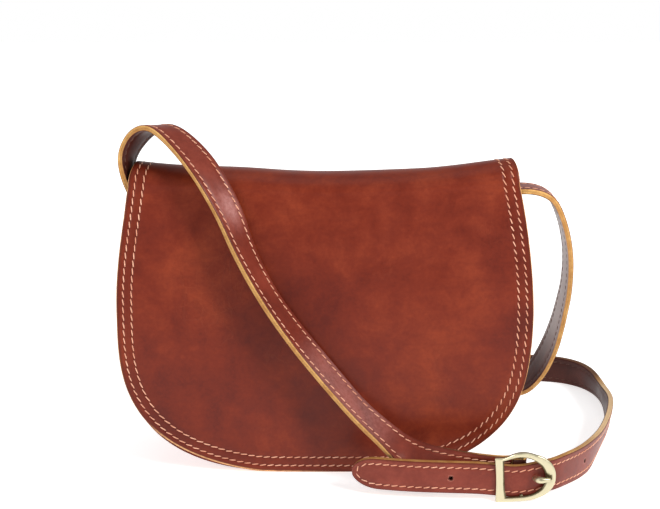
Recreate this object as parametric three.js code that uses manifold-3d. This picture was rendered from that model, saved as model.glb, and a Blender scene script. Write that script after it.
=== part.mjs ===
// Half moon crossbody bag in leather, millimetres, +Z up.
// The origin is the middle of the flat bottom. X runs across the bag, the front faces -Y.
// The bag stands by itself; its strap runs over the flap to the buckle and loops on the floor at the right.
import * as THREE from 'three';
import { mergeVertices } from 'three/addons/utils/BufferGeometryUtils.js';
import Module from 'manifold-3d';

const wasm = await Module();
wasm.setup();

// Bag
const bagWidth = 276; // flap, at its widest
const bagTopWidth = 248; // flap, at the top fold
const bagHeight = 206;
const widestHeight = 105; // height of the widest place
const bagDepth = 84; // over the flap at the bottom
const topDepth = 30; // over the flap at the top fold
const leather = 2; // panels, gusset, flap and tabs
const clearance = 0.3; // between pieces that touch
const crown = 2; // how far the panels fall back at their sides
const flapOverhang = 1.5; // the flap beyond the panels, all round
const flapFloorGap = 2; // lower edge of the flap above the floor
const flapLap = 34; // the flap's sewn lap down the back
const foldSag = 7; // dip of the top fold in its middle
const panelTopDrop = 24; // panels stop below the top fold
const gussetInset = 3; // gusset inside the panels' edge
const gussetTopDrop = 41; // gusset ends below the top fold, where the rings hang
const gussetTuck = 3; // inward fold of the gusset at its top
const foldFlat = 0.5; // top fold lower than a half round

// Strap
const strapWidth = 22;
const strapThickness = 4; // two layers
const strapHoleSize = 3.3;
const strapHolePitch = 53;
const strapTipLength = 18;
const strapEdge = 0.5; // cut corners of the strap's section
const strapSeat = 0.8; // end of a strap sunk into the loop that it grows from
const strapLift = 1.2; // strap clear of the flap where it lies on it
const buckleAhead = 41; // middle of the strap in the buckle, in front of the flap's foot
const loopReach = 212; // furthest reach of the strap's loop to the right
const loopBack = 130; // furthest reach of the loop behind the bag
const archHeight = 22.5; // strap's arch at the left above the top fold

// Rings
const ringWire = 2.6;
const ringInside = strapWidth + 2 * clearance;
const ringPitch = 10; // between the two bars of a ring
const leftRingInset = 4; // upper bar inside the flap's side at its height
const rightRingInset = 6.6;
const leftRingDrop = 26; // upper bar below the top fold
const rightRingDrop = 19;
const leftRingLean = 12 * (Math.PI / 180); // lower bar turned in towards the bag
const rightRingLean = 20 * (Math.PI / 180);
const tabLength = 30; // tab sewn on the gusset below its ring
const tabNarrower = 2; // tab narrower than the strap

// Buckle
const buckleLength = 39; // keeper bar to the end of the D
const buckleHeight = 33; // over the D
const buckleThickness = 2.4;
const railPlay = 0.5; // between the strap's edge and a rail
const buckleRail = (buckleHeight - strapWidth) / 2 - railPlay;
const buckleEnd = 6.5; // width of the D's end
const keeperWidth = 6.2;
const keeperShort = 1.4; // keeper bar shorter than the D at each end
const keeperWaist = 0.6; // keeper bar slimmer in its middle
const buckleBevel = 0.5;
const buckleBow = 4; // rails curve back in the middle
const barFromKeeper = 17.5; // keeper's outer edge to the centre bar
const barSize = 2.8;
const lugWidth = 3.6; // lugs that carry the centre bar behind the rails
const lugHeight = 3;
const lugInset = 3.3; // middle of a lug inside the rail's outer edge
const prongSize = 2.8;
const prongEye = 1.5; // wall of the prong's eye
const prongEyeHeight = 4;
const prongEntry = 5; // from the centre bar to the middle of the strap's thickness
const prongBend = 9.5; // from the centre bar to the bend over the frame's face
const prongLift = 0.8; // middle of the prong off the face at its bend
const prongShort = 1.2; // tip inside the end of the D
const buckleMiddle = 128.5; // middle of the buckle, across

const halfWidth = bagWidth / 2;
const halfTop = bagTopWidth / 2;

// Half width of the flap at a height: straight-ish above the widest place, half moon below it
const footAngle = 80 * (Math.PI / 180);
const roundX = 0.667;
const roundZ = 0.714;
const footSine = Math.sin(footAngle) ** roundZ;
function lowerPoint(angle) {
  return [
    halfWidth * Math.cos(angle) ** roundX,
    widestHeight - widestHeight * Math.sin(angle) ** roundZ / footSine,
  ];
}
function upperHalf(z) {
  const share = Math.max(0, (z - widestHeight) / (bagHeight - widestHeight));
  return halfWidth - (halfWidth - halfTop) * share ** 1.9;
}
function halfAt(z) {
  if (z >= widestHeight) return upperHalf(z);
  const sine = (Math.min(1, 1 - z / widestHeight) * footSine) ** (1 / roundZ);
  return halfWidth * Math.cos(Math.asin(sine)) ** roundX;
}

// Half depth of the bag over its flap at a height, and the front face of a layer
function halfDepth(z) {
  const share = Math.min(1, Math.max(0, z / bagHeight));
  return topDepth / 2 + ((bagDepth - topDepth) / 2) * (1 - share ** 1.6);
}
function faceDepth(x, z, layer) {
  return halfDepth(z) - crown * (x / halfWidth) ** 2 - layer;
}

const flapLayer = 0;
const panelLayer = leather + clearance;
const gussetLayer = panelLayer + leather + clearance;

// Closed geometry from rings of points, capped at both ends
function loft(rings) {
  const count = rings[0].length;
  const position = rings.flat(2);
  const index = [];
  for (let r = 0; r + 1 < rings.length; r++) {
    for (let i = 0; i < count; i++) {
      const a = r * count + i;
      const b = r * count + ((i + 1) % count);
      index.push(a, b, b + count, a, b + count, a + count);
    }
  }
  const last = (rings.length - 1) * count;
  for (let i = 1; i + 1 < count; i++) {
    index.push(0, i + 1, i, last, last + i, last + i + 1);
  }
  return outward(position, index);
}

// Closed sheet between two grids of points
function sheet(outer, inner) {
  const rows = outer.length;
  const cols = outer[0].length;
  const position = [...outer.flat(2), ...inner.flat(2)];
  const at = (side, r, c) => side * rows * cols + r * cols + c;
  const index = [];
  const quad = (a, b, c, d) => index.push(a, b, c, a, c, d);
  for (let r = 0; r + 1 < rows; r++) {
    for (let c = 0; c + 1 < cols; c++) {
      quad(at(0, r, c), at(0, r, c + 1), at(0, r + 1, c + 1), at(0, r + 1, c));
      quad(at(1, r, c), at(1, r + 1, c), at(1, r + 1, c + 1), at(1, r, c + 1));
    }
    quad(at(0, r, 0), at(0, r + 1, 0), at(1, r + 1, 0), at(1, r, 0));
    quad(at(0, r + 1, cols - 1), at(0, r, cols - 1), at(1, r, cols - 1), at(1, r + 1, cols - 1));
  }
  for (let c = 0; c + 1 < cols; c++) {
    quad(at(0, 0, c + 1), at(0, 0, c), at(1, 0, c), at(1, 0, c + 1));
    quad(at(0, rows - 1, c), at(0, rows - 1, c + 1), at(1, rows - 1, c + 1), at(1, rows - 1, c));
  }
  return outward(position, index);
}

// Faces turned outwards, judged by the signed volume
function outward(position, index) {
  let volume = 0;
  const p = (i) => new THREE.Vector3(...position.slice(3 * i, 3 * i + 3));
  for (let i = 0; i < index.length; i += 3) {
    volume += p(index[i]).dot(p(index[i + 1]).cross(p(index[i + 2])));
  }
  if (volume < 0) for (let i = 0; i < index.length; i += 3) index.splice(i, 2, index[i + 1], index[i]);
  const geometry = new THREE.BufferGeometry();
  geometry.setAttribute('position', new THREE.Float32BufferAttribute(position, 3));
  geometry.setIndex(index);
  return geometry;
}

function toSolid(geometry) {
  const bare = geometry.clone();
  bare.deleteAttribute('normal');
  bare.deleteAttribute('uv');
  const merged = mergeVertices(bare, 1e-4);
  return new wasm.Manifold(new wasm.Mesh({
    numProp: 3,
    vertProperties: new Float32Array(merged.attributes.position.array),
    triVerts: new Uint32Array(merged.index.array),
  }));
}

function fromSolid(solid) {
  const mesh = solid.getMesh();
  const geometry = new THREE.BufferGeometry();
  geometry.setAttribute('position', new THREE.Float32BufferAttribute(mesh.vertProperties, 3));
  geometry.setIndex([...mesh.triVerts]);
  return geometry;
}

const shareList = (count) => Array.from({ length: count + 1 }, (_, i) => i / count);

// Panel: one half moon plate, sign -1 at the front and 1 at the back
function panel(sign) {
  const topZ = bagHeight - panelTopDrop;
  const upper = shareList(7).map((t) => topZ + (widestHeight - topZ) * t);
  const lower = shareList(9).slice(1).map((t) => lowerPoint(t * footAngle)[1]);
  const rows = [...upper, ...lower];
  const grid = (layer) => rows.map((z) => {
    const half = halfAt(z) - flapOverhang;
    return shareList(8).map((t) => {
      const x = half * (2 * t - 1);
      return [x, sign * faceDepth(x, z, layer), z];
    });
  });
  return sheet(grid(panelLayer), grid(panelLayer + leather));
}

// Gusset: a U strip between the panels, tucked inwards at its two ends
function gusset() {
  const topZ = bagHeight - gussetTopDrop;
  const inset = flapOverhang + gussetInset;
  const right = [
    ...shareList(6).map((t) => topZ + (widestHeight - topZ) * t).map((z) => [upperHalf(z) - inset, z]),
    ...shareList(9).slice(1).map((t) => {
      const [x, z] = lowerPoint(t * footAngle);
      return [x - inset * Math.cos(t * footAngle), z];
    }),
  ];
  const left = right.map(([x, z]) => [-x, z]).reverse();
  const route = [...right, ...left];
  const inwards = route.map(([x, z], i) => {
    const [ax, az] = route[Math.max(0, i - 1)];
    const [bx, bz] = route[Math.min(route.length - 1, i + 1)];
    const length = Math.hypot(bx - ax, bz - az);
    return [(bz - az) / length, -(bx - ax) / length];
  });
  const grid = (wall) => route.map(([x, z], i) => {
    const [nx, nz] = inwards[i];
    const px = x + nx * wall;
    const pz = z + nz * wall;
    const tuck = gussetTuck * Math.max(0, (z - widestHeight) / (topZ - widestHeight));
    const depth = faceDepth(x, z, gussetLayer);
    return shareList(6).map((t) => {
      const across = 2 * t - 1;
      return [px - Math.sign(x) * tuck * (1 - Math.abs(across)), across * depth, pz];
    });
  });
  return sheet(grid(0), grid(leather));
}

// Flap: sewn on the back, over the top fold and down the front
function flap() {
  const foldHalf = topDepth / 2 - foldFlat;
  const sideDip = 0.6; // share of the dip where the fold meets the front and the back
  const foldZ = bagHeight - foldHalf;
  const stations = [];
  for (const t of shareList(3)) {
    const z = bagHeight - flapLap + (foldZ - bagHeight + flapLap) * t;
    stations.push({ back: true, z, dip: sideDip * t });
  }
  for (const t of shareList(8).slice(1, -1)) {
    stations.push({ turn: Math.PI * t, dip: sideDip + (1 - sideDip) * Math.sin(Math.PI * t) });
  }
  for (const t of shareList(7)) {
    const z = foldZ + (widestHeight - foldZ) * t;
    stations.push({ z, dip: sideDip * (1 - t) ** 2 });
  }
  for (const t of shareList(10).slice(1)) {
    const low = lowerPoint(t * footAngle)[1];
    stations.push({ z: flapFloorGap + low * (1 - flapFloorGap / widestHeight), half: halfAt(low), dip: 0 });
  }
  const point = (station, t, wall) => {
    const across = 2 * t - 1;
    const dip = foldSag * (1 - across ** 2) * station.dip;
    if (station.turn !== undefined) {
      const radius = foldHalf - wall;
      const edge = crown * (halfTop / halfWidth) ** 2 * across ** 2;
      const y = (faceDepth(0, foldZ, wall) - edge) * Math.cos(station.turn);
      return [halfTop * across, y, foldZ + radius * Math.sin(station.turn) - dip];
    }
    const half = station.half ?? (station.back ? halfTop : halfAt(station.z));
    const x = half * across;
    const z = station.z - dip;
    return [x, (station.back ? 1 : -1) * faceDepth(x, z, wall), z];
  };
  const grid = (wall) => stations.map((s) => shareList(10).map((t) => point(s, t, wall)));
  return sheet(grid(flapLayer), grid(leather));
}

// Box with its edges cut, as the section of a strap
function strapSection(width) {
  const w = width / 2;
  const t = strapThickness / 2;
  const side = w - strapEdge;
  const face = t - strapEdge;
  return [[-side, -t], [side, -t], [w, -face], [w, face], [side, t], [-side, t], [-w, face], [-w, -face]];
}

// Strap swept through stations, each a place and the direction from its tan edge to its dark edge
function sweptStrap(stations, steps, tipLength) {
  const curve = new THREE.CatmullRomCurve3(stations.map((s) => s.place), false, 'centripetal');
  curve.arcLengthDivisions = 1200;
  const length = curve.getLength();
  const lengths = curve.getLengths();
  const spans = stations.length - 1;
  const knotLengths = stations.map((_, i) => lengths[Math.round((i / spans) * curve.arcLengthDivisions)]);
  const acrossAt = (along) => {
    let i = 0;
    while (i < knotLengths.length - 2 && along > knotLengths[i + 1]) i++;
    const t = (along - knotLengths[i]) / (knotLengths[i + 1] - knotLengths[i]);
    const smooth = t * t * (3 - 2 * t);
    return stations[i].across.clone().lerp(stations[i + 1].across, smooth);
  };
  const frameAt = (along) => {
    const u = Math.min(1, Math.max(0, along / length));
    const place = curve.getPointAt(u);
    const tangent = curve.getTangentAt(u);
    const across = acrossAt(along);
    across.addScaledVector(tangent, -across.dot(tangent)).normalize();
    return { place, tangent, across, out: tangent.clone().cross(across) };
  };
  const alongs = shareList(steps).map((t) => t * (length - tipLength));
  if (tipLength > 0) {
    for (const t of shareList(7).slice(1)) {
      alongs.push(length - tipLength * (1 - Math.sin(t * Math.PI / 2)));
    }
  }
  const rings = alongs.map((along) => {
    const { place, across, out } = frameAt(along);
    const toEnd = length - along;
    const round = toEnd < tipLength ? Math.sqrt(Math.max(0.01, 1 - (1 - toEnd / tipLength) ** 2)) : 1;
    return strapSection(strapWidth * round)
      .map(([w, t]) => place.clone().addScaledVector(across, w).addScaledVector(out, t).toArray());
  });
  return { geometry: loft(rings), frameAt, length };
}

// Leather turned round a bar, with its axis along Y or Z
function barLoop(barDiameter, wall, width, axis, centre) {
  const inner = barDiameter / 2 + clearance;
  const shape = new THREE.Shape().absarc(0, 0, inner + wall, 0, 2 * Math.PI);
  shape.holes.push(new THREE.Path().absarc(0, 0, inner, 0, 2 * Math.PI, true));
  const geometry = new THREE.ExtrudeGeometry(shape, { depth: width, bevelEnabled: false, curveSegments: 10 });
  geometry.translate(0, 0, -width / 2);
  if (axis === 'y') geometry.rotateX(-Math.PI / 2);
  return geometry.translate(...centre);
}
const loopOuter = (barDiameter, wall) => barDiameter / 2 + clearance + wall;

// Room for a bar, along Y, through a strap's end
function barBore(barDiameter) {
  const radius = barDiameter / 2 + clearance;
  return new THREE.CylinderGeometry(radius, radius, 3 * strapWidth, 16);
}

// Rings: two bars along Y joined at their ends
function ringPlaces(sign, inset, drop, lean) {
  const z = bagHeight - drop;
  const upper = new THREE.Vector3(sign * (upperHalf(z) - inset), 0, z);
  const hang = new THREE.Vector3(-sign * Math.sin(lean), 0, -Math.cos(lean));
  return { sign, upper, lower: upper.clone().addScaledVector(hang, ringPitch) };
}
const leftRing = ringPlaces(-1, leftRingInset, leftRingDrop, leftRingLean);
const rightRing = ringPlaces(1, rightRingInset, rightRingDrop, rightRingLean);

function ringGeometry({ upper, lower }) {
  const reach = (ringInside + ringWire) / 2;
  const corners = [[lower, -reach], [lower, reach], [upper, reach], [upper, -reach]]
    .map(([bar, y]) => new THREE.Vector3(bar.x, y, bar.z));
  const slim = ringWire / 2;
  let solid;
  corners.forEach((a, i) => {
    const b = corners[(i + 1) % 4];
    const bar = new THREE.CylinderGeometry(slim, slim, a.distanceTo(b), 8);
    bar.applyQuaternion(new THREE.Quaternion().setFromUnitVectors(new THREE.Vector3(0, 1, 0),
      b.clone().sub(a).normalize()));
    const middle = a.clone().add(b).multiplyScalar(0.5);
    bar.translate(middle.x, middle.y, middle.z);
    const knuckle = new THREE.SphereGeometry(slim * 1.02, 8, 6).translate(a.x, a.y, a.z);
    const piece = toSolid(bar).add(toSolid(knuckle));
    solid = solid ? solid.add(piece) : piece;
  });
  return fromSolid(solid);
}

// Tab: round the ring's lower bar, then down the outside of the gusset
function tabGeometry({ sign, lower }) {
  const width = strapWidth - tabNarrower;
  const loop = toSolid(barLoop(ringWire, leather, width, 'y', lower.toArray()));
  const topZ = bagHeight - gussetTopDrop;
  const wallMiddle = loopOuter(ringWire, leather) - leather / 2;
  const tuckShare = 0.35; // of the gusset's tuck that the tab follows
  const gussetAt = (z) => {
    const tuck = gussetTuck * Math.max(0, (z - widestHeight) / (topZ - widestHeight));
    return upperHalf(z) - flapOverhang - gussetInset - tuck * tuckShare;
  };
  const start = Math.abs(lower.x) + wallMiddle;
  const zs = [lower.z, topZ + leather, topZ - tabLength / 2, topZ - tabLength];
  const xs = zs.map((z, i) => (i === 0 ? start : gussetAt(Math.min(z, topZ)) + leather / 2 + 2 * clearance));
  const rings = zs.map((z, i) => [[-1, -1], [1, -1], [1, 1], [-1, 1]]
    .map(([a, b]) => [sign * (xs[i] + a * leather / 2), b * width / 2, z]));
  return fromSolid(loop.add(toSolid(loft(rings))));
}

// Buckle: keeper bar, bowed rails, D end and centre bar
const buckleY = -(bagDepth / 2 + buckleAhead);
const buckleLeft = buckleMiddle - buckleLength / 2;
const buckleRight = buckleMiddle + buckleLength / 2;
const buckleZ = buckleHeight / 2 + clearance / 3;
const buckleFaceY = buckleY - strapThickness / 2 - clearance - buckleThickness / 2;
const barX = buckleLeft + barFromKeeper;
const barY = buckleY + strapThickness / 2 + clearance + loopOuter(barSize, leather);

const endFullness = 0.9; // power that fills out the D's round end
const endRound = 1.05; // length of the round end over half the buckle's height

function buckleOutline(half, endX, roundStart, startX) {
  const points = [];
  for (const t of shareList(8)) points.push([startX + (roundStart - startX) * t, half]);
  for (const t of shareList(12).slice(1)) {
    const turn = t * Math.PI / 2;
    points.push([roundStart + (endX - roundStart) * Math.sin(turn), half * Math.cos(turn) ** endFullness]);
  }
  return [...points, ...points.slice(0, -1).map(([x, z]) => [x, -z]).reverse()];
}

function buckleGeometry() {
  const half = buckleHeight / 2;
  const roundStart = buckleRight - half * endRound;
  const railStart = buckleLeft + keeperWidth;
  const outer = buckleOutline(half, buckleRight, roundStart, railStart);
  const inner = buckleOutline(half - buckleRail, buckleRight - buckleEnd, roundStart, railStart);
  const keeperHalf = half - keeperShort;
  const keeper = [[buckleLeft, -keeperHalf], [buckleLeft + keeperWaist, 0], [buckleLeft, keeperHalf]];
  const shape = new THREE.Shape([...outer, ...keeper].reverse().map(([x, z]) => new THREE.Vector2(x, z)));
  shape.holes.push(new THREE.Path(inner.map(([x, z]) => new THREE.Vector2(x, z))));
  const plate = new THREE.ExtrudeGeometry(shape, {
    depth: buckleThickness - 2 * buckleBevel,
    bevelThickness: buckleBevel,
    bevelSize: buckleBevel,
    bevelOffset: -buckleBevel,
    bevelSegments: 1,
    curveSegments: 8,
  });
  plate.translate(0, 0, -(buckleThickness - 2 * buckleBevel) / 2);
  plate.rotateX(Math.PI / 2).translate(0, buckleFaceY, buckleZ);
  const places = plate.attributes.position;
  for (let i = 0; i < places.count; i++) {
    const share = (places.getX(i) - railStart) / (roundStart - railStart);
    const bow = share > 0 && share < 1 ? buckleBow * Math.sin(share * Math.PI) ** 2 : 0;
    places.setY(i, places.getY(i) + bow);
  }
  const bar = new THREE.CylinderGeometry(barSize / 2, barSize / 2, buckleHeight - buckleRail, 12)
    .rotateX(Math.PI / 2).translate(barX, barY, buckleZ);
  let solid = toSolid(plate).add(toSolid(bar));
  for (const sign of [-1, 1]) {
    const lugDepth = barY - buckleFaceY - buckleBow + barSize / 2;
    const lug = new THREE.BoxGeometry(lugWidth, lugDepth, lugHeight)
      .translate(barX, barY + barSize / 2 - lugDepth / 2, buckleZ + sign * (half - lugInset));
    solid = solid.add(toSolid(lug));
  }
  return fromSolid(solid);
}

// Prong: an eye round the centre bar and a tapered pin out through the strap to the end of the D
const prongTaper = 0.35;
const frameFace = buckleFaceY - buckleThickness / 2;
const prongPlaces = [
  [barX + barSize / 2 + clearance, barY - prongEye],
  [barX + prongEntry, buckleY + strapThickness / 8],
  [barX + prongBend, frameFace - prongLift],
  [buckleRight - prongShort, frameFace - clearance - (1 - prongTaper) * prongSize * 0.6],
];
function prongPin(extra) {
  const curve = new THREE.CatmullRomCurve3(prongPlaces.map(([x, y]) => new THREE.Vector3(x, y, buckleZ)));
  const rings = shareList(9).map((t) => {
    const place = curve.getPoint(t);
    const tangent = curve.getTangent(t);
    const side = new THREE.Vector3(-tangent.y, tangent.x, 0);
    const radius = (prongSize / 2) * (1 - prongTaper * t) + extra;
    return shareList(8).slice(1).map((s) => {
      const turn = s * 2 * Math.PI;
      return place.clone().addScaledVector(side, radius * Math.cos(turn))
        .add(new THREE.Vector3(0, 0, radius * Math.sin(turn))).toArray();
    });
  });
  return toSolid(loft(rings));
}
function prongGeometry() {
  const eye = toSolid(barLoop(barSize, prongEye, prongEyeHeight, 'z', [barX, barY, buckleZ]));
  const bore = toSolid(barBore(barSize).rotateX(Math.PI / 2).translate(barX, barY, buckleZ));
  return fromSolid(eye.add(prongPin(0)).subtract(bore));
}

// Strap on the buckle's side: over the left arch, along the flap and down to the buckle.
// x is a share of half the bag's width. z is a share of the height over the buckle's middle, and past 1
// it climbs the arch. On the arch, forward is the place before the rings in strap widths. Further on
// the dark edge rests on the flap, and ahead lifts it off. across points from the tan edge to the dark one.
const archTop = 1.13;
const flapRoute = [
  { x: -0.942, z: 0.93, forward: 0, across: [0.05, 1, -0.03] },
  { x: -0.943, z: 1.01, forward: 0.04, across: [0.3, 0.94, -0.12] },
  { x: -0.912, z: 1.06, forward: 0.11, across: [0.5, 0.85, -0.15] },
  { x: -0.865, z: 1.107, forward: 0.22, across: [0.6, 0.79, -0.14] },
  { x: -0.793, z: 1.13, forward: 0.37, across: [0.64, 0.76, -0.08] },
  { x: -0.73, z: 1.115, forward: 0.55, across: [0.62, 0.78, 0.03] },
  { x: -0.67, z: 1.08, forward: 0.74, across: [0.56, 0.81, 0.14] },
  { x: -0.617, z: 1.038, forward: 0.93, across: [0.52, 0.8, 0.25] },
  { x: -0.56, z: 0.985, ahead: 0, across: [0.54, 0.77, 0.32] },
  { x: -0.455, z: 0.855, ahead: 0, across: [0.63, 0.75, 0.2] },
  { x: -0.37, z: 0.725, ahead: 0, across: [0.52, 0.85, 0.08] },
  { x: -0.265, z: 0.572, ahead: 0, across: [0.37, 0.93, 0.05] },
  { x: -0.122, z: 0.422, ahead: 0, across: [0.34, 0.93, 0.12] },
  { x: -0.025, z: 0.337, ahead: 0, across: [0.4, 0.89, 0.22] },
  { x: 0.073, z: 0.26, ahead: 0.06, across: [0.45, 0.84, 0.29] },
  { x: 0.165, z: 0.195, ahead: 0.22, across: [0.49, 0.77, 0.39] },
  { x: 0.258, z: 0.136, ahead: 0.48, across: [0.48, 0.64, 0.6] },
];
const landing = [ // left of the centre bar, behind it and over the buckle's middle, all in strap widths
  { left: 3.325, behind: 0.35, up: 0.384, across: [0.28, 0.35, 0.9] },
  { left: 2.33, behind: 0.05, up: 0.236, across: [0.06, 0.2, 0.98] },
  { left: 1.33, behind: 0, up: 0.087, across: [0, 0.05, 1] },
  { left: 0.665, behind: 0, up: 0.019, across: [0, 0, 1] },
];
function buckleSideStrap() {
  const stations = [];
  const { upper } = leftRing;
  const seat = new THREE.Vector3(-strapThickness / 4, 0, loopOuter(ringWire, leather) - strapSeat);
  stations.push({ place: upper.clone().add(seat), across: new THREE.Vector3(0, 1, 0) });
  const rise = bagHeight - buckleZ;
  for (const { x, z, forward, ahead, across } of flapRoute) {
    const direction = new THREE.Vector3(...across).normalize();
    const overTop = Math.max(0, z - 1) * archHeight / (archTop - 1);
    const place = new THREE.Vector3(x * halfWidth, 0, buckleZ + Math.min(1, z) * rise + overTop);
    if (forward === undefined) {
      const edge = place.clone().addScaledVector(direction, strapWidth / 2);
      const lift = strapLift + strapThickness / 2 + ahead * strapWidth;
      place.y = -faceDepth(edge.x, edge.z, 0) - lift - direction.y * strapWidth / 2;
    } else {
      place.y = -forward * strapWidth;
    }
    stations.push({ place, across: direction });
  }
  for (const { left, behind, up, across } of landing) {
    const offset = new THREE.Vector3(-left, behind, up).multiplyScalar(strapWidth);
    stations.push({
      place: new THREE.Vector3(barX, barY, buckleZ).add(offset),
      across: new THREE.Vector3(...across).normalize(),
    });
  }
  stations.push({
    place: new THREE.Vector3(barX - loopOuter(barSize, leather) + strapSeat, barY, buckleZ),
    across: new THREE.Vector3(0, 0, 1),
  });
  const strap = sweptStrap(stations, 96, 0);
  let solid = toSolid(strap.geometry)
    .add(toSolid(barLoop(ringWire, leather, strapWidth, 'y', upper.toArray())))
    .add(toSolid(barLoop(barSize, leather, strapWidth, 'z', [barX, barY, buckleZ])));
  const slotLeft = barX - loopOuter(barSize, prongEye) - clearance;
  const slot = new THREE.BoxGeometry(strapWidth, strapWidth, prongEyeHeight + 2 * clearance)
    .translate(slotLeft + strapWidth / 2, barY, buckleZ);
  const upright = barBore(barSize).rotateX(Math.PI / 2).translate(barX, barY, buckleZ);
  solid = solid.subtract(toSolid(barBore(ringWire).translate(...upper.toArray()))).subtract(toSolid(upright));
  return fromSolid(solid.subtract(toSolid(slot)));
}

// Strap on the tip's side: down from the right ring, round behind the bag, along the floor to the
// buckle and on to its tip. In the fall x is a share of the way from the ring to the loop's reach and z
// of the bag's height. On the floor x is a share of the loop's reach. y is a share of the reach behind,
// or of the buckle's distance in front when it is negative.
const fall = [
  { x: 0.1, y: 0, z: 0.911, across: [0, 1, 0] },
  { x: 0.18, y: 0.002, z: 0.91, across: [0, 1, 0] },
  { x: 0.256, y: 0.008, z: 0.902, across: [0, 1, 0] },
  { x: 0.326, y: 0.017, z: 0.88, across: [0, 1, 0] },
  { x: 0.411, y: 0.038, z: 0.806, across: [0, 1, 0] },
  { x: 0.489, y: 0.084, z: 0.69, across: [0, 1, 0] },
  { x: 0.519, y: 0.15, z: 0.553, across: [-0.02, 1, 0.02] },
  { x: 0.517, y: 0.2, z: 0.479, across: [-0.06, 1, 0.04] },
  { x: 0.496, y: 0.246, z: 0.394, across: [-0.12, 0.99, 0.04] },
  { x: 0.449, y: 0.3, z: 0.292, across: [-0.25, 0.96, -0.08] },
  { x: 0.359, y: 0.355, z: 0.19, across: [-0.38, 0.87, -0.3] },
  { x: 0.227, y: 0.4, z: 0.112, across: [-0.48, 0.66, -0.57] },
  { x: 0.058, y: 0.437, z: 0.073, across: [-0.34, 0.36, -0.87] },
  { x: -0.154, y: 0.463, z: 0.058, across: [-0.1, 0.1, -0.99] },
];
const floorLoop = [
  { x: 0.4, y: 0.482 }, { x: 0.22, y: 0.5 }, { x: 0.12, y: 0.56 }, { x: 0.07, y: 0.66 },
  { x: 0.065, y: 0.78 }, { x: 0.105, y: 0.89 }, { x: 0.2, y: 0.96 }, { x: 0.36, y: 0.99 },
  { x: 0.54, y: 1.0 }, { x: 0.7, y: 1.0 }, { x: 0.81, y: 0.983 }, { x: 0.895, y: 0.95 },
  { x: 0.958, y: 0.88 }, { x: 0.993, y: 0.77 }, { x: 1.0, y: 0.63 }, { x: 0.997, y: 0.48 },
  { x: 0.988, y: 0.355 }, { x: 0.972, y: 0.2 }, { x: 0.938, y: 0.03 }, { x: 0.89, y: -0.25 },
];
// x from the buckle's end to the loop's reach, back behind the buckle in strap widths, up to its middle
const nearRise = [
  { x: 0.463, back: 1.83, up: 0.2 },
  { x: 0.304, back: 1.2, up: 0.45 },
  { x: 0.152, back: 0.64, up: 0.8 },
];
const tipRun = [ // left of the buckle's centre bar and behind its line, in strap widths
  { x: -0.83, back: 0.06 }, { x: -0.35, back: 0 }, { x: 0.35, back: 0 }, { x: 1.2, back: 0 },
  { x: 2.1, back: 0.02 }, { x: 2.95, back: 0.08 }, { x: 3.7, back: 0.19 }, { x: 4.35, back: 0.33 },
  { x: 4.92, back: 0.52 },
];
function tipSideStrap() {
  const { upper } = rightRing;
  const floorZ = strapWidth / 2 + clearance / 3;
  const down = new THREE.Vector3(0, 0, -1);
  const stations = [{
    place: new THREE.Vector3(upper.x + loopOuter(ringWire, leather) - strapSeat, 0, upper.z),
    across: new THREE.Vector3(0, 1, 0),
  }];
  for (const { x, y, z, across } of fall) {
    stations.push({
      place: new THREE.Vector3(upper.x + x * (loopReach - upper.x), y * loopBack, z * bagHeight),
      across: new THREE.Vector3(...across).normalize(),
    });
  }
  const lying = (x, y, z) => stations.push({ place: new THREE.Vector3(x, y, z), across: down });
  for (const { x, y } of floorLoop) lying(x * loopReach, y > 0 ? y * loopBack : -y * buckleY, floorZ);
  for (const { x, back, up } of nearRise) {
    const height = floorZ + (buckleZ - floorZ) * up;
    lying(buckleRight + x * (loopReach - buckleRight), buckleY + back * strapWidth, height);
  }
  for (const { x, back } of tipRun) lying(barX - x * strapWidth, buckleY + back * strapWidth, buckleZ);
  const strap = sweptStrap(stations, 140, strapTipLength);
  let solid = toSolid(strap.geometry)
    .add(toSolid(barLoop(ringWire, leather, strapWidth, 'y', upper.toArray())));
  const bore = barBore(ringWire).translate(...upper.toArray());
  solid = solid.subtract(toSolid(bore)).subtract(prongPin(clearance));
  const prongHole = new THREE.Vector3(barX + prongEntry, buckleY, buckleZ);
  let prongAlong = 0;
  let nearest = Infinity;
  for (let along = strap.length / 2; along < strap.length; along += clearance) {
    const distance = strap.frameAt(along).place.distanceTo(prongHole);
    if (distance < nearest) [nearest, prongAlong] = [distance, along];
  }
  for (const count of [-2, -1, 1]) {
    const { place: centre, out } = strap.frameAt(prongAlong + count * strapHolePitch);
    const drill = new THREE.CylinderGeometry(strapHoleSize / 2, strapHoleSize / 2, 3 * strapThickness, 12)
      .applyQuaternion(new THREE.Quaternion().setFromUnitVectors(new THREE.Vector3(0, 1, 0), out))
      .translate(centre.x, centre.y, centre.z);
    solid = solid.subtract(toSolid(drill));
  }
  return fromSolid(solid);
}

const leatherLook = { color: 0x8a3826, roughness: 0.42, metalness: 0 };
const brassLook = { color: 0xc9bd95, roughness: 0.35, metalness: 1 };
const bag = new THREE.Group();
function addPiece(name, geometry, look) {
  const mesh = new THREE.Mesh(geometry, new THREE.MeshStandardMaterial(look));
  mesh.name = name;
  bag.add(mesh);
}

addPiece('flap', flap(), leatherLook);
addPiece('front_panel', panel(-1), leatherLook);
addPiece('back_panel', panel(1), leatherLook);
addPiece('gusset', gusset(), leatherLook);
addPiece('ring_left', ringGeometry(leftRing), brassLook);
addPiece('ring_right', ringGeometry(rightRing), brassLook);
addPiece('tab_left', tabGeometry(leftRing), leatherLook);
addPiece('tab_right', tabGeometry(rightRing), leatherLook);
addPiece('strap_buckle_side', buckleSideStrap(), leatherLook);
addPiece('strap_tip_side', tipSideStrap(), leatherLook);
addPiece('buckle_frame', buckleGeometry(), brassLook);
addPiece('buckle_prong', prongGeometry(), brassLook);

export default bag;
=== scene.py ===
import math

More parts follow.
